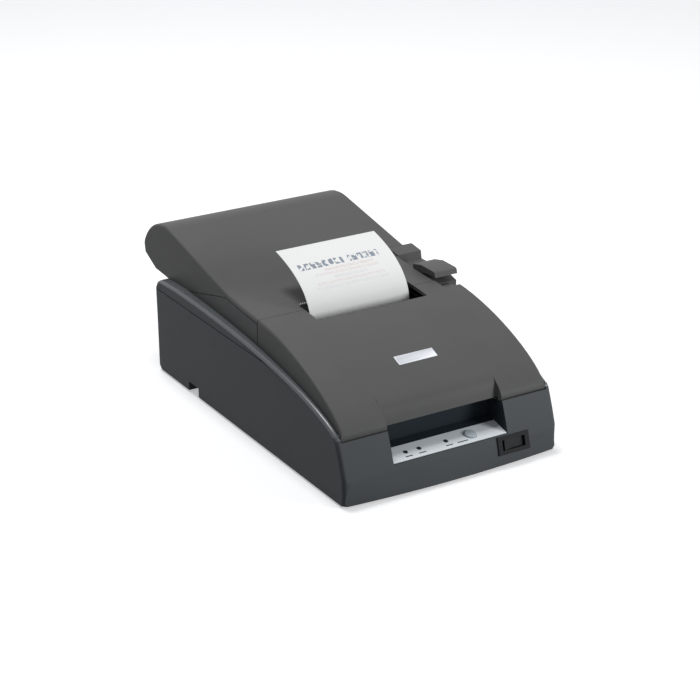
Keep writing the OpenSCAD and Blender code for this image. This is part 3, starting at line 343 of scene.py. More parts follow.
def finish_of(key):
    """The material for one real finish, made once."""
    if key not in FINISHES:
        look = bpy.context.scene.printer_finish
        makers = {
            "case": lambda: moulded_abs("ABS, moulded, case", look.case),
            "cover": lambda: moulded_abs("ABS, moulded, covers", look.cover, roughness=0.46),
            "trim": lambda: moulded_abs("ABS, moulded, black", look.trim, roughness=0.42, spread=0.12),
            # painted shade inside the panel recess, in the case's grained plastic
            "shade_in_recess": lambda: moulded_abs("ABS, moulded, painted recess shade", look.shade_in_recess, roughness=0.6),
            # a paler copy of the case's colour, a painted highlight of the rounded shoulder, on a smoother and
            # glossier finish
            "strip": lambda: moulded_abs("ABS, moulded, smooth, painted highlight", shade(look.case, 1.3), roughness=0.28,
                                         depth=0.012, gloss=0.5),
            "nylon": lambda: moulded_abs("Nylon, moulded, natural", linear("#d9d6cc"), roughness=0.4, grain=1.6),
            "knob": lambda: moulded_abs("ABS, moulded, blue", linear("#3f6688"), roughness=0.4),
            "key": lambda: moulded_abs("ABS, moulded, pale grey", linear("#b9c4ca"), roughness=0.4),
            "label": lambda: printed_film("Polycarbonate film, velvet", look.label),
            "mark": lambda: printed_film("Screen ink, dark", look.mark),
            "white_ink": lambda: printed_film("Pad print, white", linear("#dadddf")),
            "lens": lambda: moulded_abs("Acrylic, moulded, smoked", linear("#2c3a3c"), roughness=0.15, spread=0.1),
            "badge": lambda: rolled_steel("Aluminium, satin", look.badge, 0.5, metallic=0.85),
            "zinc": lambda: rolled_steel("Steel sheet, zinc plated", linear("#a6abad"), 0.4),
            "steel": lambda: rolled_steel("Steel bar, ground", linear("#b9bcbe"), 0.25),
            "tin": lambda: rolled_steel("Steel shell, tinned", linear("#b5b6b4"), 0.35),
            "brass": lambda: rolled_steel("Brass, cut", linear("#c9a95c"), 0.3),
            "rubber": lambda: moulded_rubber("Nitrile rubber, moulded", "#1a1a1b"),
            "board": lambda: solder_mask("Circuit board, green mask", "#1f5a33"),
            "roll": lambda: wound_paper("Receipt paper, wound", look.paper),
            "card": lambda: moulded_rubber("Card tube", "#8d7760"),
            "ribbon": lambda: inked_nylon("Nylon ribbon, inked", "#2a2438"),
            "epoxy": lambda: moulded_abs("Epoxy, moulded, black", linear("#202122"), roughness=0.55, spread=0.1),
            "switch_red": lambda: moulded_abs("PBT, moulded, red", linear("#8e2a25"), roughness=0.4),
        }
        FINISHES[key] = makers[key]()
    return FINISHES[key]


# ---------------------------------------------------------------- making and placing meshes

def node_box(name):
    low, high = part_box(name)
    return Vector(low), Vector(high)


def node_centre(name):
    low, high = node_box(name)
    return (low + high) / 2


def only(piece):
    """Selects this piece alone and makes it the active one."""
    bpy.ops.object.select_all(action="DESELECT")
    piece.select_set(True)
    bpy.context.view_layer.objects.active = piece


def settle(piece):
    """Puts the piece's place into its mesh, so that its object sits at the origin."""
    only(piece)
    bpy.ops.object.transform_apply(location=True, rotation=True, scale=True)


def pick(piece, kind, test):
    """In edit mode, selects only the vertices, edges or faces that pass the test."""
    bpy.ops.mesh.select_mode(type=kind)
    bpy.ops.mesh.select_all(action="DESELECT")
    shape = bmesh.from_edit_mesh(piece.data)
    elements = {"VERT": shape.verts, "EDGE": shape.edges, "FACE": shape.faces}[kind]
    found = 0
    for element in elements:
        if test(element):
            element.select = True
            found += 1
    shape.select_flush_mode()
    bmesh.update_edit_mesh(piece.data)
    return found


def disc(name, centre, radius, depth):
    """An upright cylinder about its centre."""
    bpy.ops.object.select_all(action="DESELECT")
    bpy.ops.mesh.primitive_cylinder_add(vertices=48, radius=radius, depth=depth, location=centre)
    piece = bpy.context.active_object
    piece.name = name
    settle(piece)
    return piece


def round_edges(piece, width, segments=3, angle=30.0):
    """Rounds every edge sharper than the angle, and smooths the faces between."""
    only(piece)
    bevel = piece.modifiers.new("Mould radius", "BEVEL")
    bevel.width, bevel.segments, bevel.limit_method = width, segments, "ANGLE"
    bevel.angle_limit = math.radians(angle)
    bpy.ops.object.modifier_apply(modifier=bevel.name)
    bpy.ops.object.shade_smooth_by_angle(angle=math.radians(35))
    # broad faces keep their own direction, so that a narrow rounding doesn't streak them
    even = piece.modifiers.new("Even shading", "WEIGHTED_NORMAL")
    even.keep_sharp = True
    bpy.ops.object.modifier_apply(modifier=even.name)


def join(name, pieces):
    """Joins pieces of one rigid part and one finish into one mesh."""
    bpy.ops.object.select_all(action="DESELECT")
    for piece in pieces:
        piece.select_set(True)
    bpy.context.view_layer.objects.active = pieces[0]
    bpy.ops.object.join()
    pieces[0].name = name
    pieces[0].data.name = name
    return pieces[0]


def shell_from(node, name, wide=None, width=0.0, small=None):
    """A moulded shell with its edges rounded: a merged copy of the CAD node, the edges that pass the test wide given
    the large radius, and all others the small one that a mould leaves."""
    piece = bpy.data.objects.new(name, frame["nodes"][node].data.copy())
    bpy.context.scene.collection.objects.link(piece)
    piece.data.name = name
    only(piece)
    bpy.ops.object.mode_set(mode="EDIT")
    bpy.ops.mesh.select_all(action="SELECT")
    bpy.ops.mesh.remove_doubles(threshold=0.004 * MM)
    bpy.ops.mesh.dissolve_limited(angle_limit=math.radians(0.2))
    if wide:
        done = pick(piece, "EDGE", lambda edge: len(edge.link_faces) == 2
                    and edge.calc_face_angle(0) > math.radians(40) and wide(edge))
        if done:
            bpy.ops.mesh.bevel(offset=width, segments=5, clamp_overlap=False, affect="EDGES")
    bpy.ops.object.mode_set(mode="OBJECT")
    small = small or bpy.context.scene.printer_sizes.edge_round
    round_edges(piece, small, segments=2, angle=38.0)
    return piece


def part_off(piece, name, test):
    """Separates the faces that pass the test into a piece of their own, for what is made of another material."""
    only(piece)
    bpy.ops.object.mode_set(mode="EDIT")
    found = pick(piece, "FACE", test)
    if not found:
        raise RuntimeError("no faces to part off for " + name)
    before = set(bpy.data.objects)
    bpy.ops.mesh.separate(type="SELECTED")
    bpy.ops.object.mode_set(mode="OBJECT")
    made = (set(bpy.data.objects) - before).pop()
    made.name = name
    made.data.name = name
    return made


def ready(piece, body, finish, slot, *replaced):
    """Gives a finished piece its material and its body, and hides the nodes that it stands for. The slot is not used.
    """
    piece.data.materials.clear()
    piece.data.materials.append(finish_of(finish))
    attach(piece, body)
    if replaced:
        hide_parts(*replaced)
    return piece


def dress(finish, *nodes):
    """Gives CAD nodes that keep their shape a better material."""
    for name in nodes:
        mesh = frame["nodes"][name].data
        mesh.materials.clear()
        mesh.materials.append(finish_of(finish))


def seen_rays(tree, path):
    """1 for what the camera sees, itself or in metal or glass, and 0 for light that falls on things."""
    first = add_node(tree, "ShaderNodeMath", {0: (path, "Is Camera Ray"), 1: (path, "Is Glossy Ray")},
                     operation="MAXIMUM")
    both = add_node(tree, "ShaderNodeMath", {0: (first, 0), 1: (path, "Is Transmission Ray")}, operation="MAXIMUM")
    return (both, 0)


def camera_axes():
    turn = math.radians(CAMERA["azimuth"])
    rise = math.radians(CAMERA["elevation"])
    back = Vector((math.sin(turn) * math.cos(rise), -math.cos(turn) * math.cos(rise), math.sin(rise)))
    right = Vector((math.cos(turn), math.sin(turn), 0))
    return right, back.cross(right), back


def seen_at(point):
    """Where a place shows in the photograph's frame, in pixels."""
    right, up, back = camera_axes()
    away = Vector(point) - Vector(CAMERA["place"])
    deep = -away.dot(back)
    reach = CAMERA["lens"] / CAMERA["sensor_width"] * FRAME_SIZE
    return (FRAME_SIZE / 2 - CAMERA["shift_x"] * FRAME_SIZE + reach * away.dot(right) / deep,
            FRAME_SIZE / 2 + CAMERA["shift_y"] * FRAME_SIZE - reach * away.dot(up) / deep)


def placed(point_name, carrier):
    """The place and normal on a carrier's surface that an image point looks at; a miss takes the place nearest."""
    x, y = IMAGE_POINTS[point_name]
    right, up, back = camera_axes()
    ray = (right * (x - FRAME_SIZE / 2 + CAMERA["shift_x"] * FRAME_SIZE)
           + up * (FRAME_SIZE / 2 - y + CAMERA["shift_y"] * FRAME_SIZE)
           - back * FRAME_SIZE * CAMERA["lens"] / CAMERA["sensor_width"]).normalized()
    start = Vector(CAMERA["place"])
    tree = BVHTree.FromPolygons([v.co for v in carrier.data.vertices], [p.vertices for p in carrier.data.polygons])
    hit, normal, _, _ = tree.ray_cast(start, ray)
    if hit is None:
        nearest = min(carrier.data.vertices, key=lambda v: (v.co - start - ray * (v.co - start).dot(ray)).length)
        hit, normal, _, _ = tree.find_nearest(nearest.co)
    return hit, normal


# ---------------------------------------------------------------- the pieces

ROW_ENDS = []


class PRINTER_OT_stage(bpy.types.Operator):
    """Makes the pale floor, the soft studio lamps and the camera of the photograph"""
    bl_idname = "printer.stage"
    bl_label = "Stage"

    def execute(self, context):
        scene = context.scene
        scene.view_settings.view_transform = "Standard"
        bpy.ops.object.select_all(action="DESELECT")
        bpy.ops.mesh.primitive_plane_add(size=8, location=(0, 0, 0))
        floor = context.active_object
        floor.name = "floor"
        material, tree, shader, _ = start_material("Paper sweep, white")
        shader.inputs["Base Color"].default_value = linear("#f4f4f4")
        shader.inputs["Roughness"].default_value = 0.9
        # the floor shows as white to the camera, and keeps the printer's shadow
        output = next(n for n in tree.nodes if n.type == "OUTPUT_MATERIAL")
        glow = add_node(tree, "ShaderNodeEmission", {"Color": WHITE, "Strength": 0.42})
        both = add_node(tree, "ShaderNodeAddShader", {0: (shader, "BSDF"), 1: (glow, 0)})
        # and it throws little light back up, so that the printer's sides stay dark
        bounce = add_node(tree, "ShaderNodeBsdfDiffuse", {"Color": linear("#5a5c60")})
        path = add_node(tree, "ShaderNodeLightPath")
        choice = add_node(tree, "ShaderNodeMixShader", {0: seen_rays(tree, path), 1: (bounce, 0), 2: (both, 0)})
        tree.links.new(choice.outputs[0], output.inputs["Surface"])
        floor.data.materials.append(material)
        floor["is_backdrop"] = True

        world = bpy.data.worlds.new("Studio")
        scene.world = world
        world.use_nodes = True
        tree = world.node_tree
        tree.nodes.clear()
        light = add_node(tree, "ShaderNodeBackground", {"Color": linear("#f2f6ff"), "Strength": 0.22})
        white = add_node(tree, "ShaderNodeBackground", {"Color": WHITE, "Strength": 1.0})
        path = add_node(tree, "ShaderNodeLightPath")
        mixed = add_node(tree, "ShaderNodeMixShader", {0: seen_rays(tree, path), 1: (light, 0), 2: (white, 0)})
        add_node(tree, "ShaderNodeOutputWorld", {"Surface": (mixed, 0)})

        for name, place, aim, size, power in (
                ("key lamp", (-0.1, 0.4, 1.6), (0, 0, 0), 0.5, 14.0),
                ("front lamp", (1.05, -1.2, 0.4), (0.05, -0.14, 0.03), 0.5, 14.0)):
            lamp = bpy.data.lights.new(name, "AREA")
            lamp.size, lamp.energy = size, power
            holder = bpy.data.objects.new(name, lamp)
            scene.collection.objects.link(holder)
            holder.location = place
            holder.rotation_euler = (Vector(aim) - Vector(place)).to_track_quat("-Z", "Y").to_euler()

        camera = bpy.data.objects.new("camera", bpy.data.cameras.new("camera"))
        scene.collection.objects.link(camera)
        right, up, back = camera_axes()
        camera.matrix_world = Matrix.Translation(CAMERA["place"]) @ Matrix((right, up, back)).transposed().to_4x4()
        camera.data.lens, camera.data.sensor_width = CAMERA["lens"], CAMERA["sensor_width"]
        camera.data.sensor_fit = "AUTO"
        camera.data.shift_x, camera.data.shift_y = CAMERA["shift_x"], CAMERA["shift_y"]
        camera.data.clip_start, camera.data.clip_end = 0.05, 20
        scene.camera = camera
        return {"FINISHED"}


class PRINTER_OT_case(bpy.types.Operator):
    """Makes the lower case with its rounded shoulder, the feet, the bottom door and the screws"""
    bl_idname = "printer.case"
    bl_label = "Lower case"

    def execute(self, context):
        sizes = context.scene.printer_sizes
        low, high = node_box("lower_case")

        def outer(edge):
            """The long edges of the outside: the upright front and rear corners and the shoulder's outer edge"""
            a, b = (v.co for v in edge.verts)
            level = abs(a.z - b.z) < 0.01 * MM and a.z < high.z - 4 * MM
            notch = a.z < 10 * MM and 40 * MM < a.y < 70 * MM
            return not level and not notch and all(abs(abs(p.x) - high.x) < 0.3 * MM for p in (a, b))

        case = shell_from("lower_case", "case_shell", outer, sizes.case_round)
        # the recess of the panel, behind its mouth, gets a darker moulding of its own: painted shade, for the shade
        # that the covers' lip throws into the recess
        panel_low, panel_high = node_box("panel_label")

        def inside_recess(face):
            middle = face.calc_center_median()
            return (panel_low.x - 0.6 * MM < middle.x < panel_high.x + 0.6 * MM and middle.z > panel_low.z - 0.2 * MM
                    and low.y + 4 * MM < middle.y < panel_high.y + 9 * MM)

        shade_in_recess = part_off(case, "recess_lining", inside_recess)
        ready(case, "case", "case", "case_plastic", "lower_case")
        ready(shade_in_recess, "case", "shade_in_recess", "case_plastic")

        # the shoulder runs outside the covers, above the front face; its faces are paler than the case, a painted
        # highlight of the rounded shoulder
        shoulder_at, front_top = 70 * MM, 43 * MM

        def on_shoulder(face):
            middle = face.calc_center_median()
            return abs(middle.x) > shoulder_at and middle.z > front_top and face.normal.z > 0.2

        shoulder = part_off(case, "shoulder_strip", on_shoulder)
        ready(shoulder, "case", "strip", "case_plastic")

        # the feet stand where the CAD's do, each with a stepped hollow in its sole
        foot_high = node_box("rubber_feet")[1].z
        feet = []
        for x in (-64, 64):
            for y in (-117, 76):
                foot = disc("foot", (x * MM, y * MM, foot_high / 2), 8 * MM, foot_high)
                bpy.ops.object.mode_set(mode="EDIT")
                pick(foot, "FACE", lambda face: face.normal.z < -0.9)
                bpy.ops.mesh.inset(thickness=1.4 * MM)
                bpy.ops.mesh.inset(thickness=0.5 * MM)
                bpy.ops.transform.translate(value=(0, 0, 0.4 * MM))
                bpy.ops.object.mode_set(mode="OBJECT")
                round_edges(foot, 0.25 * MM)
                feet.append(foot)
        ready(join("feet", feet), "case", "rubber", "rubber", "rubber_feet")
        door = shell_from("switch_door", "settings_door")
        ready(door, "case", "case", "case_plastic", "switch_door")
        dress("steel", "bottom_screws")
        return {"FINISHED"}


class PRINTER_OT_covers(bpy.types.Operator):
    """Makes the front cover with its bare badge, the paper roll cover and the tear bar"""
    bl_idname = "printer.covers"
    bl_label = "Covers"

    def execute(self, context):
        sizes = context.scene.printer_sizes
        # where the covers' side walls, their feet and their front and rear ends begin
        side_at, foot_at, end_at = 69 * MM, 43.5 * MM, 120 * MM

        def upper_side(edge):
            """The edges where a cover's top meets its sides"""
            faces = edge.link_faces
            sides = [f for f in faces if abs(f.normal.x) > 0.95]
            others = [f for f in faces if abs(f.normal.x) < 0.3]
            if len(sides) != 1 or len(others) != 1:
                return False
            middle = (edge.verts[0].co + edge.verts[1].co) / 2
            out = middle.x * sides[0].normal.x > 0
            return out and abs(middle.x) > side_at and middle.z > foot_at and others[0].normal.z > -0.7 and (
                others[0].normal.z > 0.05 or abs(middle.y) > end_at)

        front = shell_from("printer_cover", "front_cover_shell", upper_side, sizes.cover_round)
        ready(front, "front_cover", "cover", "case_plastic", "printer_cover")
        rear = shell_from("roll_cover", "rear_cover_shell", upper_side, sizes.cover_round)
        ready(rear, "rear_cover", "cover", "case_plastic", "roll_cover")
        badge = shell_from("badge_plate", "badge", small=0.3 * MM)
        only(badge)
        bpy.ops.object.mode_set(mode="EDIT")
        broad = max(face.area for face in badge.data.polygons)
        pick(badge, "FACE", lambda face: face.normal.z > 0.5 and face.calc_area() > broad * 0.8)
        bpy.ops.mesh.inset(thickness=0.7 * MM)
        bpy.ops.mesh.inset(thickness=0.25 * MM, depth=-0.2 * MM)
        bpy.ops.object.mode_set(mode="OBJECT")
        ready(badge, "front_cover", "badge", "badge_metal", "badge_plate")
        dress("steel", "tear_bar", "hinge_pins")
        return {"FINISHED"}


class PRINTER_OT_bay(bpy.types.Operator):
    """Makes the roll bay with the lever's block, and the lever and sensor"""
    bl_idname = "printer.bay"
    bl_label = "Roll bay and lever"

    def execute(self, context):
        bay = shell_from("roll_bay", "bay_shell")
        ready(bay, "case", "cover", "case_plastic", "roll_bay")
        lever = shell_from("cover_lever", "lever", small=0.7 * MM)
        ready(lever, "lever", "cover", "case_plastic", "cover_lever")
        dress("nylon", "roll_sensor_lever")
        return {"FINISHED"}


class PRINTER_OT_panel(bpy.types.Operator):
    """Makes the label, lamps, feed button, marks and power switch of the front"""
    bl_idname = "printer.panel"
    bl_label = "Front panel"

    def execute(self, context):
        label = shell_from("panel_label", "label", small=0.1 * MM)
        ready(label, "case", "label", "label_film", "panel_label")
        ready(shell_from("feed_button", "button", small=0.6 * MM), "button", "key", "key_plastic", "feed_button")
        ready(shell_from("status_lenses", "lamps", small=0.3 * MM), "case", "lens", "lens_plastic", "status_lenses")
        ready(shell_from("switch_frame", "switch_bezel", small=0.4 * MM), "case", "trim", "black_plastic",
              "switch_frame")
        rocker = shell_from("power_rocker", "rocker", small=0.4 * MM)
        ready(rocker, "rocker", "trim", "black_plastic", "power_rocker")
        ready(self.rocker_marks(rocker), "rocker", "white_ink", "label_film")
        ready(self.panel_print(label), "case", "mark", "label_film")
        dress("board", "panel_board")
        return {"FINISHED"}

    def on_face(self, shape, carrier, x, share):
        """Lays a flat shape, drawn about the origin, on the broadest face of the carrier that looks forward and up at
        a given x, at a share of its slope and a hair proud of it."""
        points = carrier.data.vertices
        faces = [f for f in carrier.data.polygons if f.normal.z > 0.1 and min(points[i].co.x for i in f.vertices) < x
                 < max(points[i].co.x for i in f.vertices)]
        face = max(faces, key=lambda f: f.area)
        normal = face.normal.copy()
        along = (Vector((1, 0, 0)) - normal * normal.x).normalized()
        rise = normal.cross(along)
        heights = [points[i].co.dot(rise) for i in face.vertices]
        middle = face.center + along * (x - face.center.x) / along.x
        middle += rise * (min(heights) + share * (max(heights) - min(heights)) - middle.dot(rise))
        turn = Matrix((along, rise, normal)).transposed().to_4x4()
        only(shape)
        shape.matrix_world = Matrix.Translation(middle + normal * 0.03 * MM) @ turn
        settle(shape)
        return shape

    def bar(self, name, wide, high):
        """A flat printed bar with its corners cut"""
        bpy.ops.object.select_all(action="DESELECT")
        bpy.ops.mesh.primitive_plane_add(size=1)
        piece = bpy.context.active_object
        piece.name = name
        piece.scale = (wide, high, 1)
        settle(piece)
        bpy.ops.object.mode_set(mode="EDIT")
        bpy.ops.mesh.select_all(action="SELECT")
        bpy.ops.mesh.bevel(offset=min(wide, high) * 0.25, affect="VERTICES")
        bpy.ops.object.mode_set(mode="OBJECT")
        return piece

    def ring(self, name, radius, line):
        """A flat printed ring"""
        bpy.ops.object.select_all(action="DESELECT")
        bpy.ops.mesh.primitive_circle_add(vertices=40, radius=radius, fill_type="NGON")
        piece = bpy.context.active_object
        piece.name = name
        bpy.ops.object.mode_set(mode="EDIT")
        pick(piece, "FACE", lambda face: True)
        bpy.ops.mesh.inset(thickness=line)
        bpy.ops.mesh.delete(type="FACE")
        bpy.ops.object.mode_set(mode="OBJECT")
        return piece

    def panel_print(self, label):
        """A short bar below each lamp and a longer one beside the feed button, which stand for the captions"""
        marks = []
        lamps = frame["nodes"]["status_lenses"].data.vertices
        for x in sorted({round(v.co.x / MM / 5) * 5 * MM for v in lamps}):
            marks.append(self.on_face(self.bar("caption", 5.2 * MM, 0.9 * MM), label, x, 0.2))
        button = node_centre("feed_button")
        marks.append(self.on_face(self.bar("caption", 8 * MM, 0.9 * MM), label, button.x - 8.5 * MM, 0.2))
        return join("panel_print", marks)

    def rocker_marks(self, rocker):
        """The line and the ring that say on and off"""
        middle = node_centre("power_rocker")
        on = self.on_face(self.bar("on_mark", 0.5 * MM, 2.6 * MM), rocker, middle.x - 4.0 * MM, 0.5)
        off = self.on_face(self.ring("off_mark", 1.3 * MM, 0.42 * MM), rocker, middle.x + 3.6 * MM, 0.5)
        return join("rocker_marks", [on, off])


class PRINTER_OT_paper(bpy.types.Operator):
    """Makes the printed receipt, the paper web and the roll on its card tube"""
    bl_idname = "printer.paper"
    bl_label = "Paper"

    def execute(self, context):
        look = context.scene.printer_finish
        strip = shell_from("receipt_tail", "receipt", small=0.02 * MM)
        low, _ = node_box("receipt_tail")
        # millimetres along the strip, from the line that its vertices follow
        line = []
        for v in sorted(frame["nodes"]["receipt_tail"].data.vertices, key=lambda v: v.co.y + v.co.z):
            point = Vector((v.co.y, v.co.z))
            if not line or (point.x + point.y) - (line[-1].x + line[-1].y) > 0.8 * MM:
                line.append(point)
        along = [0.0]
        for a, b in zip(line, line[1:]):
            along.append(along[-1] + (b - a).length / MM)

        def distance(co):
            here = Vector((co.y, co.z))
            best = None
            for i, (a, b) in enumerate(zip(line, line[1:])):
                t = max(0.0, min(1.0, (here - a).dot(b - a) / (b - a).length_squared))
                gap = (here - a - (b - a) * t).length
                if best is None or gap < best[0]:
                    best = (gap, along[i] + t * (along[i + 1] - along[i]))
            return best[1]

        uv = strip.data.uv_layers.new(name="print")
        for loop in strip.data.loops:
            co = strip.data.vertices[loop.vertex_index].co
            uv.data[loop.index].uv = ((co.x - low.x) / MM, distance(co))
        left, _ = placed("printed_row_left", strip)
        right, _ = placed("printed_row_right", strip)
        row = (distance(left) + distance(right)) / 2
        step = max(i for i, d in enumerate(along[:-1]) if d <= row)
        level = line[step].lerp(line[step + 1], (row - along[step]) / (along[step + 1] - along[step]))
        ROW_ENDS[:] = [Vector((left.x, *level)), Vector((right.x, *level))]
        high_row = context.scene.printer_sizes.text_height / MM
        ink = rgba(look.ink)
        faint = linear("#e9d9d4")
        first, last = (left.x - low.x) / MM, (right.x - low.x) / MM
        gap = first + (last - first) * 0.56
        rows = [(row, high_row, first, gap, 0.9, ink), (row, high_row, gap + 4, last, 0.9, ink)]
        # the small rows below: their distance from the first, both ends, tint and density
        for below, start, stop, tint, density in ((5.6, 22, 60, faint, 0.8), (9.0, 14, 62, faint, 0.6),
                                                  (12.4, 26, 52, ink, 0.18), (15.8, 12, 64, faint, 0.5),
                                                  (19.0, 10, 66, ink, 0.12)):
            rows.append((row - below, 2.2, start, stop, density, tint))
        FINISHES["receipt"] = printed_paper("Receipt paper, printed", look.paper, rows)
        ready(strip, "rear_cover", "receipt", "paper", "receipt_tail")
        dress("roll", "paper_web")
        roll = shell_from("paper_roll", "roll", small=0.25 * MM)
        middle = node_centre("paper_roll")
        tube_radius = 9.3 * MM
        tube = part_off(roll, "roll_tube", lambda face: max(
            math.hypot(v.co.y - middle.y, v.co.z - middle.z) for v in face.verts) < tube_radius)
        ready(roll, "roll", "roll", "paper", "paper_roll")
        ready(tube, "roll", "card", "paper")
        return {"FINISHED"}


class PRINTER_OT_mechanism(bpy.types.Operator):
    """Makes the print mechanism: plates, head, cassette, rollers, motors and gears"""
    bl_idname = "printer.mechanism"
    bl_label = "Print mechanism"

    def execute(self, context):
        dress("zinc", "chassis_plate", "left_side_plate", "right_side_plate", "guide_rail")
        dress("steel", "head_shaft", "pinch_roller")
        dress("rubber", "platen", "carriage_belt")
        dress("nylon", "drive_pulley", "idler_pulley", "ribbon_spindle")
        dress("brass", "motor_pinion")
        dress("ribbon", "ink_ribbon")
        self.boards()
        self.rollers_and_motors()
        ready(shell_from("carriage", "carriage_block"), "head", "trim", "black_plastic", "carriage")
        ready(shell_from("print_head", "print_head_block", small=0.2 * MM), "head", "zinc", "sheet_steel",
              "print_head")
        ready(shell_from("ribbon_cassette", "cassette", small=0.5 * MM), "case", "trim", "black_plastic",
              "ribbon_cassette")
        ready(shell_from("ribbon_knob", "cassette_knob", small=0.2 * MM), "idler", "knob", "knob_plastic",
              "ribbon_knob")
        return {"FINISHED"}

    def boards(self):
        """The main board with its black parts, metal cans, pale plugs and red switches, and the socket board"""
        board = shell_from("main_board", "logic_board", small=0.08 * MM)
        low, _ = node_box("main_board")
        under = low.z + 1.9 * MM
        top = under + BOARD_THICK

        def above(test=lambda at: True):
            """A test for faces of what stands on the board"""
            def stands(face):
                at = face.calc_center_median()
                return at.z > top + 0.05 * MM and test(at)
            return stands

        cans = part_off(board, "board_capacitors",
                        above(lambda at: at.x < -25 * MM and -73 * MM < at.y < -58 * MM))
        plugs = part_off(board, "board_plugs", above(lambda at: at.y > -49 * MM))
        chips = part_off(board, "board_chips", above())
        switches = part_off(board, "setting_switches", lambda face: face.calc_center_median().z < under - 0.05 * MM)
        ready(board, "case", "board", "circuit_board", "main_board")
        ready(cans, "case", "tin", "connector_metal")
        ready(plugs, "case", "nylon", "light_plastic")
        ready(chips, "case", "epoxy", "black_plastic")
        ready(switches, "case", "switch_red", "knob_plastic")
        socket_board = shell_from("interface_board", "socket_board", small=0.08 * MM)
        rear = node_box("interface_board")[0].y + BOARD_THICK
        blocks = part_off(socket_board, "socket_board_parts",
                          lambda face: face.calc_center_median().y > rear + 0.1 * MM)
        ready(socket_board, "case", "board", "circuit_board", "interface_board")
        ready(blocks, "case", "epoxy", "black_plastic")

    def rollers_and_motors(self):
        """The feed roller's rubber and gear on its steel shaft, and the motors"""
        roller = shell_from("feed_roller", "feed_rubber", small=0.1 * MM)
        centre = node_centre("feed_roller")

        def away(face):
            middle = face.calc_center_median()
            return math.hypot(middle.y - centre.y, middle.z - centre.z)

        shaft_radius = 2.2 * MM
        gear = part_off(roller, "feed_gear", lambda face: face.calc_center_median().x > 62.5 * MM
                        and away(face) > shaft_radius)
        shaft = part_off(roller, "feed_shaft", lambda face: away(face) < shaft_radius)
        ready(roller, "feed", "rubber", "rubber", "feed_roller")
        ready(gear, "feed", "nylon", "light_plastic")
        ready(shaft, "feed", "steel", "steel")
        for node, name in (("feed_motor", "feed_motor_can"), ("carriage_motor", "carriage_motor_can")):
            ready(shell_from(node, name, small=0.5 * MM), "case", "zinc", "sheet_steel", node)


class PRINTER_OT_sockets(bpy.types.Operator):
    """Makes the plate and the sockets at the back"""
    bl_idname = "printer.sockets"
    bl_label = "Rear sockets"

    def execute(self, context):
        dress("zinc", "interface_plate")
        plug = shell_from("data_connector", "data_plug", small=0.06 * MM)
        middle, rear = node_centre("data_connector"), node_box("data_connector")[1].y

        def insulator(face):
            """The moulded block behind the plate, its face inside the shell and the holes for the contacts"""
            at = face.calc_center_median()
            across, up = abs(at.x - middle.x), abs(at.z - middle.z)
            if across > 20.8 * MM:
                return False
            return (at.y < rear - 7 * MM or face.normal.y > 0.7 and at.y < rear - 1 * MM and up < 4.2 * MM
                    or at.y < rear - 1.6 * MM and across < 18 * MM and up < 2.3 * MM)

        insert = part_off(plug, "data_plug_insert", insulator)
        ready(plug, "case", "tin", "connector_metal", "data_connector")
        ready(insert, "case", "epoxy", "black_plastic")
        dress("steel", "plate_screws")
        ready(shell_from("drawer_jack", "jack", small=0.15 * MM), "case", "trim", "black_plastic", "drawer_jack")
        ready(shell_from("power_inlet", "inlet", small=0.15 * MM), "case", "trim", "black_plastic", "power_inlet")
        return {"FINISHED"}


class PRINTER_PT_sidebar(bpy.types.Panel):
    """Lists the printer's pieces"""
    bl_label = "Receipt printer"
    bl_space_type = "VIEW_3D"
    bl_region_type = "UI"
    bl_category = "Printer"

    def draw(self, context):
        for group in (context.scene.printer_finish, context.scene.printer_sizes):
            for key in group.bl_rna.properties.keys():
                if key not in ("rna_type", "name"):
                    self.layout.prop(group, key)
        for operator in OPERATORS:
            self.layout.operator(operator.bl_idname)


GROUPS = (PrinterFinish, PrinterSizes)
OPERATORS = (PRINTER_OT_stage, PRINTER_OT_case, PRINTER_OT_covers, PRINTER_OT_bay, PRINTER_OT_panel, PRINTER_OT_paper,
             PRINTER_OT_mechanism, PRINTER_OT_sockets)


def register():
    for cls in GROUPS + OPERATORS + (PRINTER_PT_sidebar,):
        bpy.utils.register_class(cls)
    bpy.types.Scene.printer_finish = PointerProperty(type=PrinterFinish)
    bpy.types.Scene.printer_sizes = PointerProperty(type=PrinterSizes)


def unregister():
    del bpy.types.Scene.printer_sizes
    del bpy.types.Scene.printer_finish
    for cls in reversed(GROUPS + OPERATORS + (PRINTER_PT_sidebar,)):
        bpy.utils.unregister_class(cls)


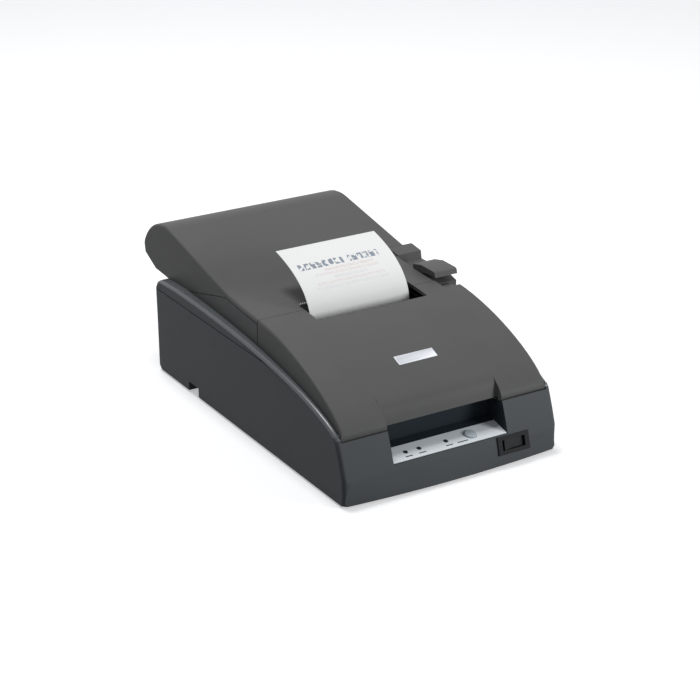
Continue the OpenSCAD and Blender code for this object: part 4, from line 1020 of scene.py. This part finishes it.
def write_points():
    """Finds where each thing shows in the frame, in pixels, by the vertices and edges that the camera sees."""
    pieces = [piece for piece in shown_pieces() if piece.type == "MESH"]
    places, faces = [], []
    for piece in pieces:
        first = len(places)
        places += [v.co.copy() for v in piece.data.vertices]
        faces += [[first + i for i in p.vertices] for p in piece.data.polygons]
    tree = BVHTree.FromPolygons(places, faces)
    eye = Vector(CAMERA["place"])
    every = [seen_at(place) for place in places]

    def shown(name):
        data = bpy.data.objects[name].data
        spots = [v.co for v in data.vertices]
        for edge in data.edges:
            a, b = (data.vertices[i].co for i in edge.vertices)
            if (b - a).length > 2 * MM:
                spots += [a.lerp(b, i / 12) for i in range(1, 12)]
        found = []
        for spot in spots:
            towards = (eye - spot).normalized()
            if tree.ray_cast(spot + towards * 0.3 * MM, towards)[0] is None:
                found.append(seen_at(spot))
        return found

    def middle(name, keep=lambda point: True):
        points = [p for p in shown(name) if keep(p)]
        return tuple((min(p[i] for p in points) + max(p[i] for p in points)) / 2 for i in (0, 1))

    def corner(name, x, y):
        return max(shown(name), key=lambda p: x * p[0] + y * p[1])

    lamp = IMAGE_POINTS["lamp_middle"]
    measured = {
        "left_edge_x": min(every), "right_edge_x": max(every),
        "top_edge_y": min(every, key=lambda p: p[1]), "bottom_edge_y": max(every, key=lambda p: p[1]),
        "badge": middle("badge"), "lever": middle("lever"), "feed_button": middle("button"),
        "power_switch": middle("switch_bezel"),
        "lamp_middle": middle("lamps", lambda p: abs(p[0] - lamp[0]) < 6),
        "paper_far_left": corner("receipt", -1, -0.3), "paper_far_right": corner("receipt", 0.4, -1),
        "paper_near_left": corner("receipt", -0.4, 1), "paper_near_right": corner("receipt", 1, 0.3),
        "printed_row_left": seen_at(ROW_ENDS[0]), "printed_row_right": seen_at(ROW_ENDS[1]),
    }


def main():
    register()
    for operator in OPERATORS:
        group, name = operator.bl_idname.split(".")
        getattr(getattr(bpy.ops, group), name)()
    bpy.context.view_layer.update()
    write_points()


if __name__ == "__main__":
    main()
